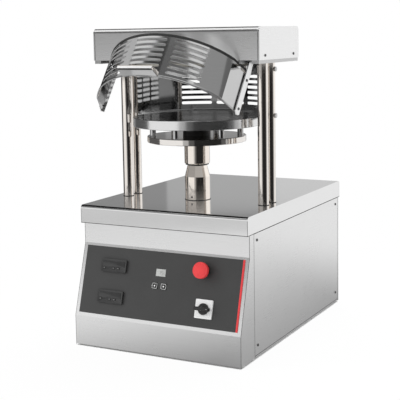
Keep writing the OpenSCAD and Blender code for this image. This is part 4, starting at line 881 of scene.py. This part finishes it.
# The lower hem takes the darker rear guard steel: painted shade along the guard's lower edge
settle(place(lowerHem, raised), "guard", "guard_steel", finish=finishes["rear_guard_steel_painted_shade"])
settle(place(upperHemShade, raised), "guard", "black_rubber")
settle(place(guardHighlightPad(), raised), "guard", "pale_plastic")
settle(place(guardShadowStrip(), raised), "guard", "black_rubber")
settle(place(guardHandle(), raised), "guard", "guard_steel", finish=finishes["polished_steel"])
print("guard trim done")

# Slotted collar under the lift's hub
collar = {
    "outer": 30.5 * mm, "inner": 21 * mm, "tall": 3.4 * mm, "edge": 0.4 * mm,
    "notches": 24, "notchDeep": 2 * mm, "rimBand": 1 * mm, "rimLevel": 0.2,
}


def hubCollar():
    look = collar
    inner, outer, edge, tall = look["inner"], look["outer"], look["edge"], look["tall"]
    rings = [(inner, 0), (outer - edge, 0), (outer, edge), (outer, tall), (inner, tall), (inner, 0)]
    ring = turned("lift_hub_collar", rings, 2 * look["notches"], hollow=True)
    step = math.pi / look["notches"]

    def slotted(face):
        middle = face.calc_center_median()
        onRim = abs(face.normal.z) < look["rimLevel"] and middle.xy.length > outer - look["rimBand"]
        return onRim and math.floor(math.atan2(middle.y, middle.x) / step) % 2 == 0

    pick(ring, "FACE", slotted)
    bpy.ops.mesh.extrude_faces_move(TRANSFORM_OT_shrink_fatten={"value": -look["notchDeep"]})
    return place(ring, Matrix.Translation((0, axisY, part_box("lift_hub")[0].z - tall)))


settle(hubCollar(), "lift", "dark_screws")

# Grub screw in the guide sleeve's foot
grub = {
    "radius": 2.4 * mm, "long": 4 * mm, "edge": 0.4 * mm, "sides": 24, "socket": 1.3 * mm, "socketDeep": 2 * mm,
    "in": 0.6 * mm, "up": 9 * mm,
}


def sleeveGrub():
    look = grub
    r, edge = look["radius"], look["edge"]
    rod = turned("guide_sleeve_grub", [(r, -look["long"]), (r, -edge), (r - edge, 0)], look["sides"])
    hexSocket(rod, look, 0)
    front = axisY - (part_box("lift_hub")[1].x - look["in"])
    spot = Matrix.Translation((0, front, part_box("worktop")[1].z + look["up"]))
    return place(rod, spot @ Matrix.Rotation(math.pi / 2, 4, "X"))


settle(sleeveGrub(), "frame", "dark_screws")
print("lift trim done")

# Dark rings where the columns and the sleeve come through the worktop
footRing = {
    "column": 13.5 * mm, "sleeve": 33 * mm, "lap": 0.3 * mm, "wide": 0.8 * mm, "tall": 1.3 * mm, "edge": 0.3 * mm,
    "sides": 48,
}


def oneRing(radius):
    look = footRing
    inner, outer, foot = radius - look["lap"], radius + look["wide"], -look["lap"]
    tall, edge = look["tall"], look["edge"]
    rim = [(inner, foot), (outer, foot), (outer, tall - edge), (outer - edge, tall), (inner, tall), (inner, foot)]
    return turned("ring", rim, look["sides"], hollow=True)


def footRings():
    low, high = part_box("columns")
    top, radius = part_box("worktop")[1].z, footRing["column"]
    rings = [place(oneRing(footRing["sleeve"]), Matrix.Translation((0, axisY, top)))]
    columnRing = oneRing(radius)
    for x in (low.x + radius, high.x - radius):
        for y in (low.y + radius, high.y - radius):
            rings.append(copied(columnRing, "ring", Matrix.Translation((x, y, top))))
    bpy.data.objects.remove(columnRing)
    return joinedPiece("worktop_foot_rings", rings)


settle(footRings(), "frame", "black_rubber")
print("foot rings done")

# Dark rubber strips in the casing's seams and a line low on each side panel; the strips under and along the worktop's
# skirt and up the front corners are painted shade, standing for the shadow lines at those edges
sealAndShadeLine = {
    "proud": 0.15 * mm, "deep": 0.5 * mm, "wide": 1.3 * mm, "edge": 0.12 * mm, "low": 9.5 * mm,
    "headIn": 2 * mm, "headShort": 12 * mm, "corner": 0.95 * mm, "lip": 1.5 * mm, "bend": 9 * mm,
    "fasciaRun": ((-306.947 * mm, 2 * mm), (-306.947 * mm, 79 * mm),
                  (-252.947 * mm, 258 * mm), (-252.947 * mm, 309.5 * mm)),
}


# One strip up a front corner, from one point of the profile to the next: a dark strip that paints the shade along
# that edge
def cornerStrip(edge, first, second):
    look = sealAndShadeLine
    rise = Vector((0, second[0] - first[0], second[1] - first[1]))
    half = look["corner"] / 2
    strip = block("sealAndShadeLine", (-half, -look["proud"], 0), (half, look["deep"], rise.length))
    soften(strip, look["edge"])
    lean = Matrix.Rotation(-math.atan2(rise.y, rise.z), 4, "X")
    middle = edge - math.copysign(half, edge)
    return place(strip, Matrix.Translation((middle, first[0], first[1])) @ lean)


def casingSealsAndShadeLines():
    look = sealAndShadeLine
    sideLow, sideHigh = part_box("right_side_panel")
    headLow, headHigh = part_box("head_cover")
    topLow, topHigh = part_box("worktop")
    proud, deep, half, edge = look["proud"], look["deep"], look["wide"] / 2, look["edge"]
    skirtLow, skirtLip = topLow.z, topLow.z + look["lip"]
    out, inside, headSeam = sideHigh.x + proud, sideHigh.x - deep, headHigh.x - look["headIn"]
    runs = [
        ((inside, sideLow.y - half, sideLow.z), (out, sideLow.y + half, skirtLow)),
        ((inside, sideHigh.y - half, sideLow.z), (out, sideHigh.y + half, skirtLow)),
        ((inside, sideLow.y, skirtLow - look["wide"]), (out, sideHigh.y, skirtLow)),
        ((inside, sideLow.y, look["low"] - half), (out, sideHigh.y, look["low"] + half)),
        ((topHigh.x - deep, topLow.y, skirtLow), (topHigh.x + proud, topHigh.y, skirtLip)),
        ((headSeam - half, headLow.y - proud, headLow.z),
         (headSeam + half, headLow.y + deep, headHigh.z - look["headShort"])),
    ]
    strips = []
    for low, high in runs:
        strips.append(soften(block("sealAndShadeLine", low, high), edge))
        strips.append(soften(block("sealAndShadeLine", (-high[0], low[1], low[2]), (-low[0], high[1], high[2])), edge))
    lip = block("sealAndShadeLine", (topLow.x, topLow.y - proud, skirtLow), (topHigh.x, topLow.y + deep, skirtLip))
    strips.append(soften(lip, edge))
    for side in (-1, 1):
        strips.append(cornerStrip(side * topHigh.x, (topLow.y, skirtLip), (topLow.y, topHigh.z - look["bend"])))
        for first, second in zip(look["fasciaRun"], look["fasciaRun"][1:]):
            strips.append(cornerStrip(side * sideHigh.x, first, second))
    return joinedPiece("casing_seals_and_shade_lines", strips)


settle(casingSealsAndShadeLines(), "frame", "black_rubber")
print("casing seals done")

# Studio: white floor and world, soft lamps, and surfaces round and just over the part that only reflections see;
# those just over the worktop's front edge and the head's top edge paint dark lines and a highlight into the edges'
# reflections, and the reflected floor carries a painted shadow near the machine
studio = {
    "worldDim": 0.85, "floorSize": 14.0, "floorColour": grey(0.85), "floorGlow": 0.95,
    "shadowNear": 0.1, "shadowFar": 0.7, "mirrorFar": 0.72, "mirrorDim": 0.4, "mirrorTop": 0.9,
    "frontFade": 0.8, "frontLeft": (-0.33, 1.75), "frontRight": (0.15, 0.8), "flagSides": 120,
    "flags": table("from to low high radius glow", {
        "frontLeftEdge": (-3, 9, 0.0, 0.66, 1.75, 0.45),
        "frontLeft": (9, 21, 0.0, 0.66, 1.75, 0.1),
        "front": (21, 81, 0.0, 0.66, 1.75, 0.02),
        "frontRight": (81, 93, 0.0, 0.66, 1.75, 0.1),
        "frontRightEdge": (93, 105, 0.0, 0.66, 1.75, 0.45),
        "frontTop": (3, 97, 0.66, 2.4, 1.75, 0.42),
        "frontTopEdge": (97, 106, 0.66, 1.05, 1.75, 0.62),
        "frontTopFade": (106, 115, 0.66, 1.05, 1.75, 0.82),
        "bendShade": (97, 115, 1.05, 2.4, 1.75, 0.2),
        "rightTop": (115, 140, 0.8, 2.4, 1.75, 1.0),
        "skirtShade": (-50, -12, 0.0, 0.13, 1.75, 0.63),
        "leftTop": (-75, 3, 0.6, 1.55, 1.75, 0.34),
        "backPale": (162, 174, 0.0, 2.4, 2.0, 0.9),
        "backStep": (174, 186, 0.0, 2.4, 2.0, 0.78),
        "edgeShade": (-52, 2, 1.0, 1.26, 1.1, 0.02),
        "left": (186, 297, 0.0, 0.6, 2.0, 0.1),
        "leftUpper": (186, 297, 0.6, 2.4, 2.0, 0.2),
        "guardShade": (225, 252, 0.7, 1.75, 1.85, 0.03),
        "leftPatch": (252, 285, 1.75, 2.4, 1.95, 0.7),
        "backRight": (186, 199, 0.3, 1.3, 1.9, 0.62),
        "backMiddle": (199, 212, 0.3, 1.3, 1.9, 0.42),
        "backLeft": (212, 248, 0.3, 1.3, 1.9, 0.28),
        "backBand": (188, 230, 0.765, 0.93, 1.88, 0.1),
    }),
    "ceilings": table("low high height glow", {
        "leftCeiling": ((-4.0, -1.45), (-0.12, -0.9), 2.4, 0.08),
        "rightCeiling": ((-0.12, -1.45), (4.0, -0.9), 2.4, 0.19),
        # Strips lying just over the worktop's front edge and the head's top edge, seen only in reflections: painted
        # dark lines and a painted highlight along those edges
        "frontEdgePaintedDarkLine": ((-0.25, -0.2662), (0.234, -0.2568), 0.359, 0.01),
        "headEdgePaintedDarkLine": ((-0.255, -0.2345), (0.222, -0.1955), 0.806, 0.1),
        "headEdgePaintedHighlight": ((-0.25, -0.1932), (0.228, -0.1837), 0.8045, 1.05),
        "headTopPaintedDarkLine": ((-0.25, -0.1835), (0.228, -0.1775), 0.8045, 0.12),
    }),
    "lamps": table("turn rise far size power", {
        "rightBack": (130, 25, 2.6, 1.3, 25),
        "leftFront": (-50, 25, 2.6, 1.3, 25),
        "backTop": (180, 60, 2.0, 0.8, 16),
    }),
    "aim": (0, 0, 0.4),
}


def lookRays(board):
    kinds = ("Is Camera Ray", "Is Glossy Ray", "Is Transmission Ray")
    rays = [board.add("LightPath", output=kind) for kind in kinds]
    return rays[0].most(rays[1]).most(rays[2])


def bareMaterial(name):
    material = bpy.data.materials.new(name)
    material.use_nodes = True
    board = Board(material.node_tree)
    board.tree.nodes.remove(board.tree.nodes["Principled BSDF"])
    return material, board


def coverWith(board, wire):
    board.feed(board.tree.nodes["Material Output"].inputs["Surface"], wire)


def onlyReflected(piece, name, glow):
    piece.name = name
    material, board = bareMaterial(name)
    coverWith(board, board.add("Emission", {}, {"Color": (glow, glow, glow, 1), "Strength": 1.0}))
    piece.data.materials.append(material)
    piece.visible_camera = piece.visible_diffuse = piece.visible_shadow = False
    piece.visible_transmission = piece.visible_volume_scatter = False
    piece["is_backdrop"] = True


def arcFlag(name, look):
    freshStart()
    tall = look["high"] - look["low"]
    bpy.ops.mesh.primitive_cylinder_add(vertices=studio["flagSides"], radius=look["radius"], depth=tall,
                                        end_fill_type="NOTHING", location=(0, 0, look["low"] + tall / 2))
    flag = place(bpy.context.object)

    def outside(face):
        middle = face.calc_center_median()
        turn = math.degrees(math.atan2(middle.x, -middle.y))
        return not look["from"] <= (turn - look["from"]) % 360 + look["from"] <= look["to"]

    pick(flag, "FACE", outside)
    bpy.ops.mesh.delete(type="FACE")
    freshStart()
    onlyReflected(flag, name, look["glow"])


def levelFlag(name, look):
    freshStart()
    low, high = Vector(look["low"]), Vector(look["high"])
    bpy.ops.mesh.primitive_plane_add(size=1, location=(*(low + high) / 2, look["height"]))
    flag = bpy.context.object
    flag.scale = (*(high - low), 1)
    onlyReflected(flag, name, look["glow"])


def softLamp(name, look):
    turn, rise = math.radians(look["turn"]), math.radians(look["rise"])
    away = Vector((math.sin(turn) * math.cos(rise), -math.cos(turn) * math.cos(rise), math.sin(rise)))
    bpy.ops.object.light_add(type="AREA", location=Vector(studio["aim"]) + away * look["far"])
    lamp = bpy.context.object
    lamp.name = name
    lamp.rotation_euler = away.to_track_quat("Z", "Y").to_euler()
    lamp.data.size, lamp.data.energy = look["size"], look["power"]
    lamp.visible_glossy = False


def floorPaper():
    look = studio
    material, board = bareMaterial("floorPaper")
    paper = board.add("BsdfDiffuse", {}, {"Color": (*look["floorColour"], 1)})
    # Distance from the machine's footprint
    spot = board.coords("Object")
    footLow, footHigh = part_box("front_fascia")[0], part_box("rear_panel")[1]
    middle, half = (footLow + footHigh) / 2, (footHigh - footLow) / 2
    across, back = board.part(spot, "X") - middle.x, board.part(spot, "Y") - middle.y
    away = (across.size() - half.x).most(back.size() - half.y)
    clear = board.ranged(away, (look["shadowNear"], look["shadowFar"]), (look["floorGlow"], 1.0), "SMOOTHSTEP")
    # Seen in reflections the floor glows less near the machine: a painted shadow round its footprint
    paintedMirrorShade = board.ranged(away, (0.0, look["mirrorFar"]), (look["mirrorDim"], look["mirrorTop"]))
    # In front of the machine the reflected floor is painted darker towards the right: painted shade seen only in
    # reflections
    ahead = board.ranged(back, (-half.y - look["frontFade"], -half.y), (0.0, 1.0)) * (back < -half.y)
    paintedSlantShade = board.ranged(across, *zip(look["frontLeft"], look["frontRight"]))
    paintedMirrorShade = paintedMirrorShade * (1 + ahead * (paintedSlantShade - 1))
    mirrored = board.add("LightPath", output="Is Glossy Ray")
    glow = board.add("Emission", {}, {"Color": (1, 1, 1, 1), "Strength": 1 + mirrored * (paintedMirrorShade - 1)})
    lit = clear * (away > 0.0)
    share = lookRays(board) * (lit + mirrored * (1 - lit))
    coverWith(board, board.add("MixShader", {}, {"Fac": share, 1: paper, 2: glow}))
    return material


def buildStudio():
    world = bpy.data.worlds.new("studioWorld")
    bpy.context.scene.world = world
    world.use_nodes = True
    board = Board(world.node_tree)
    sky = board.tree.nodes["Background"]
    sky.inputs["Color"].default_value = (1, 1, 1, 1)
    board.feed(sky.inputs["Strength"], studio["worldDim"] + (1 - studio["worldDim"]) * lookRays(board))

    freshStart()
    bpy.ops.mesh.primitive_plane_add(size=studio["floorSize"], location=(0, 0, 0))
    floor = bpy.context.object
    floor.name = "studioFloor"
    floor.data.materials.append(floorPaper())
    floor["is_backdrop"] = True

    for name, look in studio["flags"].items():
        arcFlag(name + "Flag", look)
    for name, look in studio["ceilings"].items():
        levelFlag(name, look)
    for name, look in studio["lamps"].items():
        softLamp(name + "Lamp", look)


buildStudio()
print("studio done")

# Camera, matched to the cabinet's corners
camera = {
    "spot": (1.2189, -2.3854, 0.7906), "yaw": 27.587, "down": 6.759, "roll": 0.91,
    "focal": 1009, "pixels": 400, "sensor": 36, "shift": -0.12,
}


def buildCamera():
    yaw, down, roll = (math.radians(camera[key]) for key in ("yaw", "down", "roll"))
    ahead = Vector((-math.sin(yaw) * math.cos(down), math.cos(yaw) * math.cos(down), -math.sin(down)))
    right = Vector((math.cos(yaw), math.sin(yaw), 0))
    up = right.cross(ahead)
    tilted = Matrix.Identity(4)
    tilted.col[0][:3] = right * math.cos(roll) - up * math.sin(roll)
    tilted.col[1][:3] = up * math.cos(roll) + right * math.sin(roll)
    tilted.col[2][:3] = -ahead
    tilted.col[3][:3] = camera["spot"]
    data = bpy.data.cameras.new("photoCamera")
    data.lens = camera["focal"] / camera["pixels"] * camera["sensor"]
    data.sensor_width, data.shift_y = camera["sensor"], camera["shift"]
    viewer = bpy.data.objects.new("photoCamera", data)
    bpy.context.scene.collection.objects.link(viewer)
    viewer.matrix_world = tilted
    bpy.context.scene.camera = viewer


freshStart()
buildCamera()
bpy.context.scene.view_settings.view_transform = "Standard"

low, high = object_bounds()
